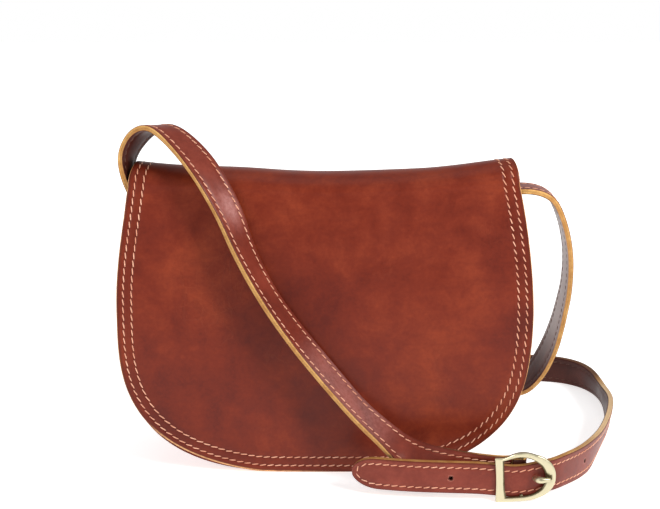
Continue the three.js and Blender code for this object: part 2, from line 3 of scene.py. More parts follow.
import bmesh
import bpy
import numpy as np
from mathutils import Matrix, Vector, noise


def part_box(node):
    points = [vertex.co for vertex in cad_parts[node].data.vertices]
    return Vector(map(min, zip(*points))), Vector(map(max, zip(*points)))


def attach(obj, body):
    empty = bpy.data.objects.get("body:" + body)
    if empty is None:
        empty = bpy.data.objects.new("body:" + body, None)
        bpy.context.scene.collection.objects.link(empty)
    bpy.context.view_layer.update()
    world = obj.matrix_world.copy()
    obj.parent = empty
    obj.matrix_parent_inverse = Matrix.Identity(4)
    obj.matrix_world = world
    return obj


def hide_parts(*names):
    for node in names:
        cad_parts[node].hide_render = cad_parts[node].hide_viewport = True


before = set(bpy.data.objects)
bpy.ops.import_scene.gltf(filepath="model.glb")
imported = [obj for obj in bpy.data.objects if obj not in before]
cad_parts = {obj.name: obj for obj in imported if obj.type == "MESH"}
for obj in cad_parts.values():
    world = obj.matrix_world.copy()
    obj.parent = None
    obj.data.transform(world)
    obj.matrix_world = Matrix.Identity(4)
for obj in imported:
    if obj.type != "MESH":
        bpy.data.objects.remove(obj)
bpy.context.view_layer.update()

# Half moon crossbody bag: the finish of every piece. Sizes are in millimetres until a mesh is made.
millimetre = 0.001


def nodeBox(node):
    low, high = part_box(node)
    return np.array(low) / millimetre, np.array(high) / millimetre


flapLow, flapHigh = nodeBox("flap")
frameLow, frameHigh = nodeBox("buckle_frame")

# Stage: camera, floor and lights
stage = {
    "lens": 68.18,
    "cameraPlace": (0.0037, -0.821, 0.3615),
    "cameraTilt": 75.0,                    # degrees up from straight down
    "floorHalf": 3.0,
    "floorColour": (0.93, 0.925, 0.92),
    "floorGlow": (0.66, 1.0),              # a lit table: near the bag and far from it
    "skyTop": 0.3,                         # what lights the bag from above
    "skySide": 0.12,
    "backdrop": 0.95,                      # the white sheet behind the bag
}


def makeCamera():
    data = bpy.data.cameras.new("camera")
    data.lens = stage["lens"]
    data.sensor_width = 36.0
    camera = bpy.data.objects.new("camera", data)
    camera.location = stage["cameraPlace"]
    camera.rotation_euler = (math.radians(stage["cameraTilt"]), 0.0, 0.0)
    bpy.context.scene.collection.objects.link(camera)
    bpy.context.scene.camera = camera


def makeLight(name, place, aim, size, power, colour):
    data = bpy.data.lights.new(name, "AREA")
    data.shape = "RECTANGLE"
    data.size, data.size_y = size
    data.energy = power
    data.color = colour
    light = bpy.data.objects.new(name, data)
    light.location = place
    light.rotation_euler = (Vector(aim) - Vector(place)).to_track_quat("-Z", "Y").to_euler()
    bpy.context.scene.collection.objects.link(light)


makeCamera()
lights = [
    ("key_light", (1.05, -0.85, 1.05), (0.03, 0.0, 0.1), (0.45, 0.5), 19.0, (1.0, 0.985, 0.965)),
    ("fill_light", (-1.25, -1.05, 0.7), (0.0, 0.0, 0.1), (0.8, 0.9), 8.5, (0.98, 0.985, 1.0)),
    ("top_light", (0.0, 0.1, 1.4), (0.0, 0.0, 0.0), (1.2, 0.9), 2.5, (1.0, 1.0, 1.0)),
]
for light in lights:
    makeLight(*light)


# Shader maths written as sums of sockets
class Signal:
    def __init__(self, tree, socket):
        self.tree = tree
        self.socket = socket

    def maths(self, operation, first, second):
        node = self.tree.nodes.new("ShaderNodeMath")
        node.operation = operation
        for slot, value in zip(node.inputs, (first, second)):
            feed(self.tree, slot, value)
        return Signal(self.tree, node.outputs[0])

    def __add__(self, other):
        return self.maths("ADD", self, other)

    def __radd__(self, other):
        return self.maths("ADD", other, self)

    def __sub__(self, other):
        return self.maths("SUBTRACT", self, other)

    def __rsub__(self, other):
        return self.maths("SUBTRACT", other, self)

    def __mul__(self, other):
        return self.maths("MULTIPLY", self, other)

    def __rmul__(self, other):
        return self.maths("MULTIPLY", other, self)

    def __abs__(self):
        return self.maths("ABSOLUTE", self, 0.0)


def feed(tree, slot, value):
    if isinstance(value, Signal):
        tree.links.new(value.socket, slot)
    elif value is not None:
        slot.default_value = value


class Finish:
    def __init__(self, name):
        self.material = bpy.data.materials.new(name)
        self.material.use_nodes = True
        self.tree = self.material.node_tree
        self.shader = self.tree.nodes["Principled BSDF"]
        self.places = self.node("ShaderNodeTexCoord", {}, {}, "Object")

    def node(self, kind, settings, sockets, output):
        node = self.tree.nodes.new(kind)
        for name, value in settings.items():
            if name == "stops":
                ramp = node.color_ramp.elements
                while len(ramp) < len(value):
                    ramp.new(1.0)
                for stop, (at, colour) in zip(ramp, value):
                    stop.position = at
                    stop.color = colour
            else:
                setattr(node, name, value)
        byName = {slot.name: slot for slot in reversed(node.inputs)}
        byName.update({slot.identifier: slot for slot in node.inputs})
        for name, value in sockets.items():
            feed(self.tree, byName[name], value)
        results = {slot.name: slot for slot in reversed(node.outputs)}
        results.update({slot.identifier: slot for slot in node.outputs})
        return Signal(self.tree, results[output])

    def cloud(self, scale, detail=3.0, roughness=0.5, distortion=0.0, places=None):
        sockets = {"Vector": places or self.places, "Scale": scale, "Detail": detail}
        sockets.update({"Roughness": roughness, "Distortion": distortion})
        return self.node("ShaderNodeTexNoise", {"noise_dimensions": "3D"}, sockets, "Fac")

    def stretched(self, scale, turn=(0.0, 0.0, 0.0)):
        sockets = {"Vector": self.places, "Scale": scale, "Rotation": turn}
        return self.node("ShaderNodeMapping", {"vector_type": "POINT"}, sockets, "Vector")

    def steps(self, value, low, high):
        sockets = {"Value": value, "From Min": low, "From Max": high}
        settings = {"interpolation_type": "SMOOTHSTEP", "clamp": True}
        return self.node("ShaderNodeMapRange", settings, sockets, "Result")

    def blend(self, factor, first, second, kind="MIX"):
        settings = {"data_type": "RGBA", "blend_type": kind}
        sockets = {"Factor_Float": factor, "A_Color": first, "B_Color": second}
        return self.node("ShaderNodeMix", settings, sockets, "Result_Color")

    def ramp(self, value, stops):
        return self.node("ShaderNodeValToRGB", {"stops": stops}, {"Fac": value}, "Color")

    def attribute(self, name):
        return self.node("ShaderNodeAttribute", {"attribute_name": name}, {}, "Fac")

    def set(self, **sockets):
        for name, value in sockets.items():
            feed(self.tree, self.shader.inputs[name.replace("_", " ")], value)

    def relief(self, layers):
        normal = None
        for height, strength, distance in layers:
            sockets = {"Height": height, "Strength": strength, "Distance": distance * millimetre}
            if normal:
                sockets["Normal"] = normal
            normal = self.node("ShaderNodeBump", {}, sockets, "Normal")
        self.set(Normal=normal)


def colour(red, green, blue):
    shares = (channel / 255 for channel in (red, green, blue))
    return (*(((s + 0.055) / 1.055) ** 2.4 if s > 0.04 else s / 12.92 for s in shares), 1.0)


def groove(finish, distance, middle, width):
    return 1.0 - finish.steps(abs(distance - middle), 0.0, width)


# Leather: glazed, mottled cognac, with a fine grain, faint veins and creases
leatherLook = {
    "dark": (95, 31, 20),
    "middle": (117, 41, 23),
    "light": (139, 55, 29),
    "rim": (78, 28, 16),
    "roughness": 0.36,
    "shine": 0.2,
    "mottle": 11.0,
    "patch": 52.0,
    "grain": 950.0,
    "bend": (0.012, 0.012, 0.012),         # how far the cracks wander
}


def leatherBase(name, look):
    finish = Finish(name)
    mottle = finish.cloud(look["mottle"], 3.0, 0.55, 0.6)
    patch = finish.cloud(look["patch"], 5.0, 0.62, 0.4)
    fine = finish.cloud(look["patch"] * 9, 3.0, 0.6)
    tone = mottle * 0.5 + patch * 0.36 + fine * 0.14
    shades = {"dark": 0.38, "middle": 0.5, "light": 0.63}
    base = finish.ramp(tone, [(at, colour(*look[shade])) for shade, at in shades.items()])
    warp = finish.cloud(70.0, 3.0, 0.6)
    sockets = {"Vector": warp, "Vector_001": look["bend"], "Vector_002": finish.places}
    bent = finish.node("ShaderNodeVectorMath", {"operation": "MULTIPLY_ADD"}, sockets, "Vector")
    cracks = finish.node("ShaderNodeTexVoronoi", {"feature": "DISTANCE_TO_EDGE"},
                         {"Vector": bent, "Scale": 85.0}, "Distance")
    where = finish.steps(finish.cloud(23.0, 2.0), 0.52, 0.68)
    veins = (1.0 - finish.steps(cracks, 0.0, 0.05)) * where
    base = finish.blend(veins * 0.1, base, colour(160, 80, 50))
    grain = finish.node("ShaderNodeTexVoronoi", {"feature": "F1"},
                        {"Vector": finish.places, "Scale": look["grain"]}, "Distance")
    creases = abs(finish.cloud(60.0, 4.0, 0.6, 0.8, finish.stretched((1.0, 1.0, 0.45))) - 0.5)
    creased = 1.0 - finish.steps(creases, 0.0, 0.035)
    streaks = finish.cloud(150.0, 5.0, 0.65, 0.5, finish.stretched((0.45, 1.0, 1.9), (0.0, 0.25, 0.0)))
    base = finish.blend(finish.steps(streaks, 0.42, 0.7) * 0.22, base, colour(*look["dark"]))
    base = finish.blend(creased * where * 0.12, base, colour(*look["rim"]))
    finish.set(Roughness=finish.steps(patch, 0.2, 0.8) * 0.14 + look["roughness"] - 0.05 + fine * 0.06,
               Specular_IOR_Level=look["shine"], Coat_Weight=0.03, Coat_Roughness=0.22)
    layers = [(patch, 0.25, 0.35), (creased * where, 0.2, 0.2), (streaks, 0.22, 0.12), (veins, 0.1, 0.1),
              (grain, 0.16, 0.06)]
    return finish, base, layers, fine


def flapLeather():
    finish, base, layers, fine = leatherBase("flap_leather", leatherLook)
    rim = finish.attribute("rim")
    edgeShade = 1.0 - finish.steps(rim, 0.2, 3.4)
    stitched = groove(finish, rim, 4.5, 1.3) + groove(finish, rim, 10.0, 1.3)
    between = groove(finish, rim, 7.2, 5.5)
    # Painted shade: the rim is darker as a burnished edge with painted shade over it, and the stitch
    # grooves are darkened as painted shade; between the rows the tone is darker too.
    shade = edgeShade * 0.62 + stitched * 0.3 + between * 0.16
    base = finish.blend(shade, base, colour(*leatherLook["rim"]))
    x, z = (finish.node("ShaderNodeSeparateXYZ", {}, {"Vector": finish.places}, axis) for axis in "XZ")
    lowLeft = (1.0 - finish.steps(x, -0.045, 0.015)) * (1.0 - finish.steps(z, 0.022, 0.036))
    rubbed = finish.steps(fine, 0.3, 0.62) * 0.4 + 0.6
    base = finish.blend(groove(finish, rim, 0.75, 0.75) * lowLeft * rubbed, base, colour(236, 178, 124))
    finish.set(Base_Color=base)
    finish.relief([*layers, (1.0 - stitched, 0.35, 0.3)])
    return finish.material


strapLook = {**leatherLook, "dark": (104, 38, 26), "middle": (123, 48, 33), "light": (140, 61, 45),
             "roughness": 0.34, "mottle": 30.0, "shine": 0.26}


def strapLeather():
    finish, base, layers, fine = leatherBase("strap_leather_face", strapLook)
    uneven = finish.attribute("matte") * 0.3 + finish.steps(fine, 0.2, 0.8) * 0.12
    finish.set(Roughness=uneven + strapLook["roughness"])
    rim = finish.attribute("rim")
    edgeShade = 1.0 - finish.steps(rim, 0.2, 1.8)
    stitched = groove(finish, rim, 3.5, 1.1)
    hole = finish.attribute("hole")
    # Painted shade: the rim is darker as a burnished edge with painted shade over it, and the stitch
    # groove and each punched hole with its edge are darkened as painted shade.
    shade = edgeShade * 0.45 + stitched * 0.3 + (1.0 - finish.steps(hole, 1.1, 1.7)) * 0.6
    # Painted sheen: stretches of the face picked by the attribute are lightened towards pale pink, as a
    # highlight.
    base = finish.blend(finish.attribute("polish") * (fine * 0.6 + 0.05), base, colour(226, 176, 172))
    base = finish.blend(shade, base, colour(*leatherLook["rim"]))
    ringed = groove(finish, hole, 2.0, 0.7) * 0.35
    finish.set(Base_Color=finish.blend(ringed, base, colour(206, 140, 118)))
    finish.relief([*layers, (1.0 - stitched, 0.35, 0.25)])
    return finish.material


def liningLeather():
    look = {**leatherLook, "dark": (58, 24, 18), "middle": (73, 32, 24), "light": (88, 42, 33),
            "roughness": 0.36, "mottle": 24.0, "patch": 90.0, "shine": 0.18}
    finish, base, layers, fine = leatherBase("strap_lining", look)
    # Painted sheen: the lining round the arc by the right ring is lightened to pale grey, as a reflection
    # of the white room.
    buffed = finish.attribute("buffed") * (fine * 0.3 + 0.74)
    finish.set(Base_Color=finish.blend(buffed, base, colour(192, 182, 179)))
    finish.relief(layers)
    return finish.material


def bodyLeather():
    finish, base, layers, fine = leatherBase("body_leather", leatherLook)
    rim = finish.attribute("rim")
    shade = (1.0 - finish.steps(rim, 0.3, 2.6)) * 0.4 + groove(finish, rim, 4.5, 1.3) * 0.3
    finish.set(Base_Color=finish.blend(shade, base, colour(*leatherLook["rim"])))
    finish.relief(layers)
    return finish.material


def suede():
    finish = Finish("flesh_side")
    nap = finish.cloud(700.0, 4.0, 0.7)
    patch = finish.cloud(60.0, 3.0)
    tone = nap * 0.6 + patch * 0.4
    finish.set(Base_Color=finish.ramp(tone, [(0.35, colour(112, 72, 48)), (0.65, colour(158, 112, 80))]),
               Roughness=0.86, Specular_IOR_Level=0.2)
    finish.relief([(nap, 0.5, 0.25)])
    return finish.material


def rawEdge(name, pale, deep, line):
    finish = Finish(name)
    fibres = finish.cloud(900.0, 4.0, 0.7)
    worn = finish.cloud(120.0, 3.0, 0.6)
    base = finish.blend(finish.steps(fibres * 0.4 + worn * 0.6, 0.36, 0.66), colour(*deep), colour(*pale))
    if line:
        layer = finish.attribute("layer")
        base = finish.blend((1.0 - finish.steps(layer, -2.2, 1.4)) * 0.6, base, colour(150, 92, 42))
        base = finish.blend(groove(finish, layer, 0.0, 0.4) * 0.3, base, colour(104, 58, 30))
        base = finish.blend(finish.attribute("tipward") * 0.35, base, colour(132, 80, 42))
        # A stretch of edge picked by the attribute is darkened to deep brown.
        base = finish.blend(finish.attribute("soiled") * 0.85, base, colour(78, 38, 28))
        # Painted highlight: a stretch of edge is paled to cream, as a glare of light.
        base = finish.blend(finish.attribute("bleached") * 0.7, base, colour(228, 200, 160))
    finish.set(Base_Color=base, Roughness=0.6, Specular_IOR_Level=0.3)
    finish.relief([(fibres, 0.45, 0.2)])
    return finish.material


def waxedThread(name, soiled, clean):
    finish = Finish(name)
    fleck = finish.cloud(1500.0, 2.0)
    soil = finish.cloud(70.0, 3.0)
    base = finish.ramp(fleck * 0.4 + soil * 0.6, [(0.35, colour(*soiled)), (0.65, colour(*clean))])
    finish.set(Base_Color=base, Roughness=0.55, Specular_IOR_Level=0.35)
    finish.relief([(fleck, 0.4, 0.2)])
    return finish.material


def antiqueBrass():
    finish = Finish("antique_brass_plate")
    worn = finish.cloud(180.0, 4.0, 0.6)
    fine = finish.cloud(1600.0, 2.0)
    patina = finish.steps(finish.attribute("patina") + worn * 0.65, 0.4, 1.05)
    base = finish.blend(patina, colour(208, 200, 168), colour(98, 84, 58))
    brushed = finish.cloud(900.0, 2.0, 0.5, 0.0, finish.stretched((0.12, 1.0, 1.0)))
    finish.set(Base_Color=base, Metallic=1.0, Roughness=0.34 + 0.2 * patina + worn * 0.1)
    finish.relief([(worn, 0.32, 0.2), (brushed, 0.14, 0.05), (fine, 0.12, 0.04)])
    return finish.material


def floorFinish():
    finish = Finish("pale_floor")
    veil = finish.cloud(3.0, 2.0)
    tint = finish.blend(veil, (*stage["floorColour"], 1.0), (0.95, 0.95, 0.95, 1.0))
    sockets = {"Vector": finish.places}
    reach = finish.node("ShaderNodeVectorMath", {"operation": "LENGTH"}, sockets, "Value")
    near, far = ((v, v, v, 1.0) for v in stage["floorGlow"])
    finish.set(Base_Color=tint, Roughness=0.7, Specular_IOR_Level=0.15, Emission_Strength=1.0,
               Emission_Color=finish.blend(finish.steps(reach, 0.35, 1.0), near, far))
    return finish.material


finishes = {
    "flap": flapLeather(),
    "body": bodyLeather(),
    "strap": strapLeather(),
    "lining": liningLeather(),
    "suede": suede(),
    "flapEdge": rawEdge("flap_raw_edge", (226, 172, 112), (176, 112, 66), False),
    "strapEdge": rawEdge("strap_raw_edge", (226, 178, 106), (188, 134, 68), True),
    "thread": waxedThread("waxed_thread", (216, 140, 108), (247, 190, 160)),
    "backThread": waxedThread("lining_thread", (84, 52, 42), (120, 84, 68)),
    "brass": antiqueBrass(),
}
print("finishes made")


def makeFloor():
    half = stage["floorHalf"]
    corners = [(-half, -half, 0), (half, -half, 0), (half, half, 0), (-half, half, 0)]
    mesh = bpy.data.meshes.new("floor")
    mesh.from_pydata(corners, [], [(0, 1, 2, 3)])
    mesh.materials.append(floorFinish())
    floor = bpy.data.objects.new("floor", mesh)
    bpy.context.scene.collection.objects.link(floor)


def skyRange(tree, source):
    node = tree.nodes.new("ShaderNodeMapRange")
    node.interpolation_type = "SMOOTHSTEP"
    tree.links.new(source, node.inputs["Value"])
    return node


def spread(node, *limits):
    for name, value in zip(("From Min", "From Max", "To Min", "To Max"), limits):
        node.inputs[name].default_value = value


def makeSky():
    world = bpy.data.worlds.new("studio")
    bpy.context.scene.world = world
    world.use_nodes = True
    tree = world.node_tree
    backdrop = tree.nodes["Background"]
    backdrop.inputs["Color"].default_value = (1.0, 1.0, 1.0, 1.0)
    soft = tree.nodes.new("ShaderNodeBackground")
    places = tree.nodes.new("ShaderNodeTexCoord")
    parts = tree.nodes.new("ShaderNodeSeparateXYZ")
    tree.links.new(places.outputs["Generated"], parts.inputs[0])
    back, up = (skyRange(tree, parts.outputs[axis]) for axis in "YZ")
    spread(back, -0.05, 0.35, stage["skySide"], stage["backdrop"])
    spread(up, 0.35, 0.75, 0.0, 1.0)
    level = tree.nodes.new("ShaderNodeMix")
    given = {slot.identifier: slot for slot in level.inputs}
    given["B_Float"].default_value = stage["skyTop"]
    tree.links.new(up.outputs["Result"], given["Factor_Float"])
    tree.links.new(back.outputs["Result"], given["A_Float"])
    tree.links.new(level.outputs[0], soft.inputs["Strength"])
    seen = tree.nodes.new("ShaderNodeLightPath")
    pick = tree.nodes.new("ShaderNodeMixShader")
    tree.links.new(seen.outputs["Is Camera Ray"], pick.inputs[0])
    tree.links.new(soft.outputs[0], pick.inputs[1])
    tree.links.new(backdrop.outputs[0], pick.inputs[2])
    tree.links.new(pick.outputs[0], tree.nodes["World Output"].inputs["Surface"])
    bpy.context.scene.view_settings.view_transform = "Standard"


makeFloor()
makeSky()


# Meshes
def makePiece(name, points, faces, picks, materials, attributes=None):
    mesh = bpy.data.meshes.new(name)
    mesh.from_pydata((np.asarray(points) * millimetre).tolist(), [], [tuple(map(int, f)) for f in faces])
    for material in materials:
        mesh.materials.append(finishes[material])
    mesh.polygons.foreach_set("material_index", np.asarray(picks, np.int32))
    mesh.polygons.foreach_set("use_smooth", np.ones(len(mesh.polygons), bool))
    for key, values in (attributes or {}).items():
        made = mesh.attributes.new(key, "FLOAT", "POINT")
        made.data.foreach_set("value", np.asarray(values, np.float32))
    piece = bpy.data.objects.new(name, mesh)
    bpy.context.scene.collection.objects.link(piece)
    faceOut(mesh)
    return piece


def faceOut(mesh):
    work = bmesh.new()
    work.from_mesh(mesh)
    bmesh.ops.recalc_face_normals(work, faces=work.faces)
    work.to_mesh(mesh)
    work.free()
    mesh.update()


def settle(piece, slot, *nodes):
    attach(piece, "root")
    if nodes:
        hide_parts(*nodes)


def joinPieces(main, others):
    for piece in bpy.context.selected_objects:
        piece.select_set(False)
    for piece in [main, *others]:
        piece.select_set(True)
    bpy.context.view_layer.objects.active = main
    bpy.ops.object.join()


# A wall of leather from a function of its rows and columns: finished face, flesh side and cut edge
def slab(place, halfOf, rows, cols, wall, rounding=0.45):
    count = len(cols)
    points, picks, faces = [], [], []
    for row, shrink in rows:
        half = halfOf(row)
        inner = cols * (1 - rounding / half)
        across = np.concatenate([inner, [1, 1], inner[::-1], [-1, -1]])
        edge = rounding * 0.9
        depth = [*np.zeros(count), edge, wall - edge, *np.full(count, wall), wall - edge, edge]
        depth = wall / 2 + (np.array(depth) - wall / 2) * (1 - shrink)
        points.append(place(np.full(len(across), row), across, depth))
    length = 2 * count + 4
    kinds = [0] * (count - 1) + [2] * 3 + [1] * (count - 1) + [2] * 3
    for r in range(len(rows) - 1):
        for k in range(length):
            a, b = r * length + k, r * length + (k + 1) % length
            faces.append((a, b, b + length, a + length))
            picks.append(kinds[k])
    for start in (0, (len(rows) - 1) * length):
        for i in range(count - 1):
            faces.append((start + i, start + i + 1, start + 2 * count - i, start + 2 * count + 1 - i))
            picks.append(2)
        faces.append((start + count - 1, start + count, start + count + 1, start + count + 2))
        faces.append((start, start + 2 * count + 1, start + 2 * count + 2, start + 2 * count + 3))
        picks.extend([2, 2])
    return np.concatenate(points), faces, picks


# Bag: the same rules of form as its frame
bag = {
    "topWidth": 248.0,
    "widestHeight": 105.0,
    "topDepth": 30.0,
    "leather": 2.0,
    "clearance": 0.3,
    "crown": 2.0,
    "flapOverhang": 1.5,
    "flapLap": 34.0,
    "foldSag": 7.0,
    "foldFlat": 0.5,
    "panelTopDrop": 24.0,
    "gussetInset": 3.0,
    "gussetTopDrop": 41.0,
    "gussetTuck": 3.0,
}
halfWidth = (flapHigh[0] - flapLow[0]) / 2
halfTop = bag["topWidth"] / 2
bagHeight = flapHigh[2]
footHalfDepth = -flapLow[1]
flapGap = flapLow[2]
widest = bag["widestHeight"]
footAngle = math.radians(80)
roundX, roundZ = 0.667, 0.714
footSine = math.sin(footAngle) ** roundZ


def lowerX(angle):
    return halfWidth * np.cos(angle) ** roundX


def lowerZ(angle):
    return widest - widest * np.sin(angle) ** roundZ / footSine


def upperHalf(z):
    share = np.clip((z - widest) / (bagHeight - widest), 0, None)
    return halfWidth - (halfWidth - halfTop) * share ** 1.9


def halfAt(z):
    sine = (np.clip(1 - np.asarray(z, float) / widest, 0, 1) * footSine) ** (1 / roundZ)
    low = halfWidth * np.cos(np.arcsin(sine)) ** roundX
    return np.where(np.asarray(z) >= widest, upperHalf(np.asarray(z, float)), low)


def faceDepth(x, z, layer):
    share = np.clip(z / bagHeight, 0, 1)
    top = bag["topDepth"] / 2
    return top + (footHalfDepth - top) * (1 - share ** 1.6) - bag["crown"] * (x / halfWidth) ** 2 - layer


foldHalf = bag["topDepth"] / 2 - bag["foldFlat"]
foldZ = bagHeight - foldHalf
sideDip = 0.6


# The flap's rows run 0 to 1 up the back, to 2 over the fold, to 3 at its widest and to 4 at the foot
def flapPlace(row, across, depth):
    row, across, depth = np.broadcast_arrays(*map(np.asarray, (row, across, depth)))
    row = row.astype(float)
    bulge = bag["foldSag"] * (1 - across ** 2)
    backT = np.clip(row, 0, 1)
    turn = math.pi * np.clip(row - 1, 0, 1)
    frontT = np.clip(row - 2, 0, 1)
    angle = footAngle * np.clip(row - 3, 0, 1)
    lapZ = bagHeight - bag["flapLap"]
    backZ = lapZ + (foldZ - lapZ) * backT - bulge * sideDip * backT
    frontZ = foldZ + (widest - foldZ) * frontT
    frontHalf = upperHalf(frontZ)
    frontZ = frontZ - bulge * sideDip * (1 - frontT) ** 2
    lowZ = flapGap + lowerZ(angle) * (1 - flapGap / widest)
    widening = float(upperHalf(foldZ)) - halfTop
    share = np.clip((turn / math.pi - 0.35) / 0.65, 0, 1)
    foldWidth = halfTop + widening * share ** 2 * (3 - 2 * share)
    x = np.where(row < 2, foldWidth, np.where(row < 3, frontHalf, lowerX(angle))) * across
    z = np.where(row < 1, backZ, np.where(row < 3, frontZ, lowZ))
    y = np.where(row < 1.5, 1, -1) * faceDepth(x, z, depth)
    sideZ = foldZ - bulge * sideDip
    turnY = faceDepth(x, sideZ, depth) * np.cos(turn)
    turnZ = foldZ + (foldHalf - depth) * np.sin(turn) - bulge * (sideDip + (1 - sideDip) * np.sin(turn))
    turning = (row > 1) & (row < 2)
    y = np.where(turning, turnY, y)
    z = np.where(turning, turnZ, z)
    return np.stack([x, y, z], -1)


def ease(value, low, high):
    t = np.clip((value - low) / (high - low), 0, 1)
    return t * t * (3 - 2 * t)


# The worn shape: one side of the fold stands higher, one lower corner is rounder and the foot hangs
wornShape = {
    "corner": (-98, 22),
    "cornerReach": 45,
    "cornerOut": 1.7,
    "cornerUp": 0.7,
    "leftLift": 1.4,
    "rightLift": 2.0,
    "rightOut": 1.0,
    "leftOut": 0.5,
    "shoulderOut": 1.2,
    "shoulder": 192,
    "hang": 1.7,
}


def worn(points):
    look = wornShape
    x, y, z = points.T
    share = x / halfTop
    cornerX, cornerZ = look["corner"]
    corner = np.exp(-((x - cornerX) ** 2 + (z - cornerZ) ** 2) / look["cornerReach"] ** 2)
    left = look["leftLift"] * np.exp(-((share + 0.45) / 0.25) ** 2)
    lift = (left + look["rightLift"] * ease(share, 0.5, 0.95)) * ease(z, 150, 205)
    right = look["rightOut"] * ease(x, 60, 135) * ease(z, 70, 110)
    shoulder = look["shoulderOut"] * np.exp(-((z - look["shoulder"]) / 14) ** 2)
    left = (look["leftOut"] + shoulder) * ease(-x, 60, 130) * ease(z, 100, 130)
    hang = look["hang"] * (1 - ease(z, 0, 30)) * ease(x, -95, -25)
    out = right - left + look["cornerOut"] * corner
    return np.stack([x + out, y, z + lift + look["cornerUp"] * corner - hang], 1)


def flapHalf(row):
    return float(abs(flapPlace(row, 1.0, 0.0)[0]))


flapLook = {
    "cols": 57,
    "edgeCols": 15,
    "edgeBand": 15.0,                      # densely ruled band along the sides
    "backRows": 12,
    "turnRows": 26,
    "frontRows": 46,
    "lowRows": 34,
    "bend": 34,                            # under this height its rows follow the angle
    "footRows": 46,
    "groove": 0.22,
    "rows": (4.5, 10.0),                   # stitch rows from the rim
    "backSeam": 0.23,                      # the row that sews it to the back
    "waves": 0.55,
}


def flapOutline(inset):
    angles = np.linspace(0, footAngle, 160)
    x, z = lowerX(angles), flapGap + lowerZ(angles) * (1 - flapGap / widest)
    side = np.stack([x, z], 1)
    foot = np.stack([np.linspace(x[-1], -x[-1], 60)[1:-1], np.full(58, z[-1])], 1)
    line = np.concatenate([side, foot, (side * [-1, 1])[::-1]])
    ahead = np.gradient(line, axis=0)
    normal = np.stack([ahead[:, 1], -ahead[:, 0]], 1)
    normal /= np.linalg.norm(normal, axis=1)[:, None]
    normal[0], normal[-1] = (-1, 0), (1, 0)
    return line + normal * inset * np.where((normal @ [0, 1] < -0.2), -1, 1)[:, None]


def outlineGap(points, outline):
    gaps = [np.linalg.norm(points[:, [0, 2]] - place, axis=1) for place in outline]
    return np.min(gaps, 0)


def rimDistance(points, row, across):
    near = outlineGap(points, flapOutline(0.0))
    side = (1 - abs(across)) * abs(flapPlace(row, np.ones(len(row)), np.zeros(len(row)))[:, 0])
    return np.where(row < 3, side, np.minimum(near, side))


def softWaves(points, scale, seed):
    return np.array([noise.noise(Vector(p) / scale + Vector((seed, 0, 0))) for p in points.tolist()])


def flapRows():
    look = flapLook
    back = np.linspace(0, 1, look["backRows"])
    turn = np.linspace(1, 2, look["turnRows"])
    front = np.linspace(2, 3, look["frontRows"])
    heights = np.linspace(widest, look["bend"], look["lowRows"])
    angles = np.arcsin(((1 - heights / widest) * footSine) ** (1 / roundZ))
    low = 3 + angles / footAngle
    foot = np.linspace(low[-1], 4, look["footRows"])
    every = np.concatenate([[0, 0.012], back[1:], turn[1:], front[1:], low[1:], foot[1:]])
    shrink = np.zeros(len(every))
    shrink[0], shrink[-1], shrink[-2] = 0.45, 0.5, 0.15
    return list(zip(every.tolist(), shrink.tolist()))


def edgedCols(cols, edgeCols, band, half):
    edge = np.linspace(1 - band / half, 1, edgeCols)
    middle = np.linspace(-edge[0], edge[0], cols)
    return np.concatenate([-edge[::-1], middle[1:-1], edge])


def makeFlap():
    rowValues, acrossValues, depths = [], [], []

    def place(row, across, depth):
        rowValues.append(row)
        acrossValues.append(across)
        depths.append(depth)
        return flapPlace(row, across, depth)

    cols = edgedCols(flapLook["cols"], flapLook["edgeCols"], flapLook["edgeBand"], halfWidth)
    points, faces, picks = slab(place, flapHalf, flapRows(), cols, bag["leather"])
    row, across = np.concatenate(rowValues), np.concatenate(acrossValues)
    rim = rimDistance(points, row, across)
    sink = sum(np.exp(-((rim - at) / 0.8) ** 2) for at in flapLook["rows"]) * flapLook["groove"]
    calm = np.clip((rim - 2) / 25, 0, 1) * ease(row, 0.4, 1.0)
    wave = softWaves(points, 62.0, 3.0) * flapLook["waves"] * calm - sink
    inward = flapPlace(row, across, bag["leather"]) - flapPlace(row, across, 0.0)
    inward /= np.linalg.norm(inward, axis=1)[:, None]
    points = worn(points - inward * wave[:, None])
    flap = makePiece("bag_flap", points, faces, picks, ["flap", "suede", "flapEdge"], {"rim": rim})
    settle(flap, "bag_leather", "flap")


makeFlap()
print("flap made")


# Panels and gusset
bodyLook = {
    "cols": 45,
    "edgeCols": 9,
    "edgeBand": 9.0,
    "rowStep": 3.0,
    "bend": 34,
    "footRows": 26,
    "seam": 4.5,                           # stitch row from the rim
}


def bodyRows(topZ):
    upper = np.linspace(topZ, bodyLook["bend"], int((topZ - bodyLook["bend"]) / bodyLook["rowStep"]))
    turning = math.asin(((1 - bodyLook["bend"] / widest) * footSine) ** (1 / roundZ))
    angles = np.linspace(turning, footAngle, bodyLook["footRows"])
    every = np.concatenate([[topZ, topZ - 0.45], upper[1:], lowerZ(angles)[1:]])
    shrink = np.zeros(len(every))
    shrink[0], shrink[-1] = 0.45, 0.4
    return list(zip(every.tolist(), shrink.tolist()))


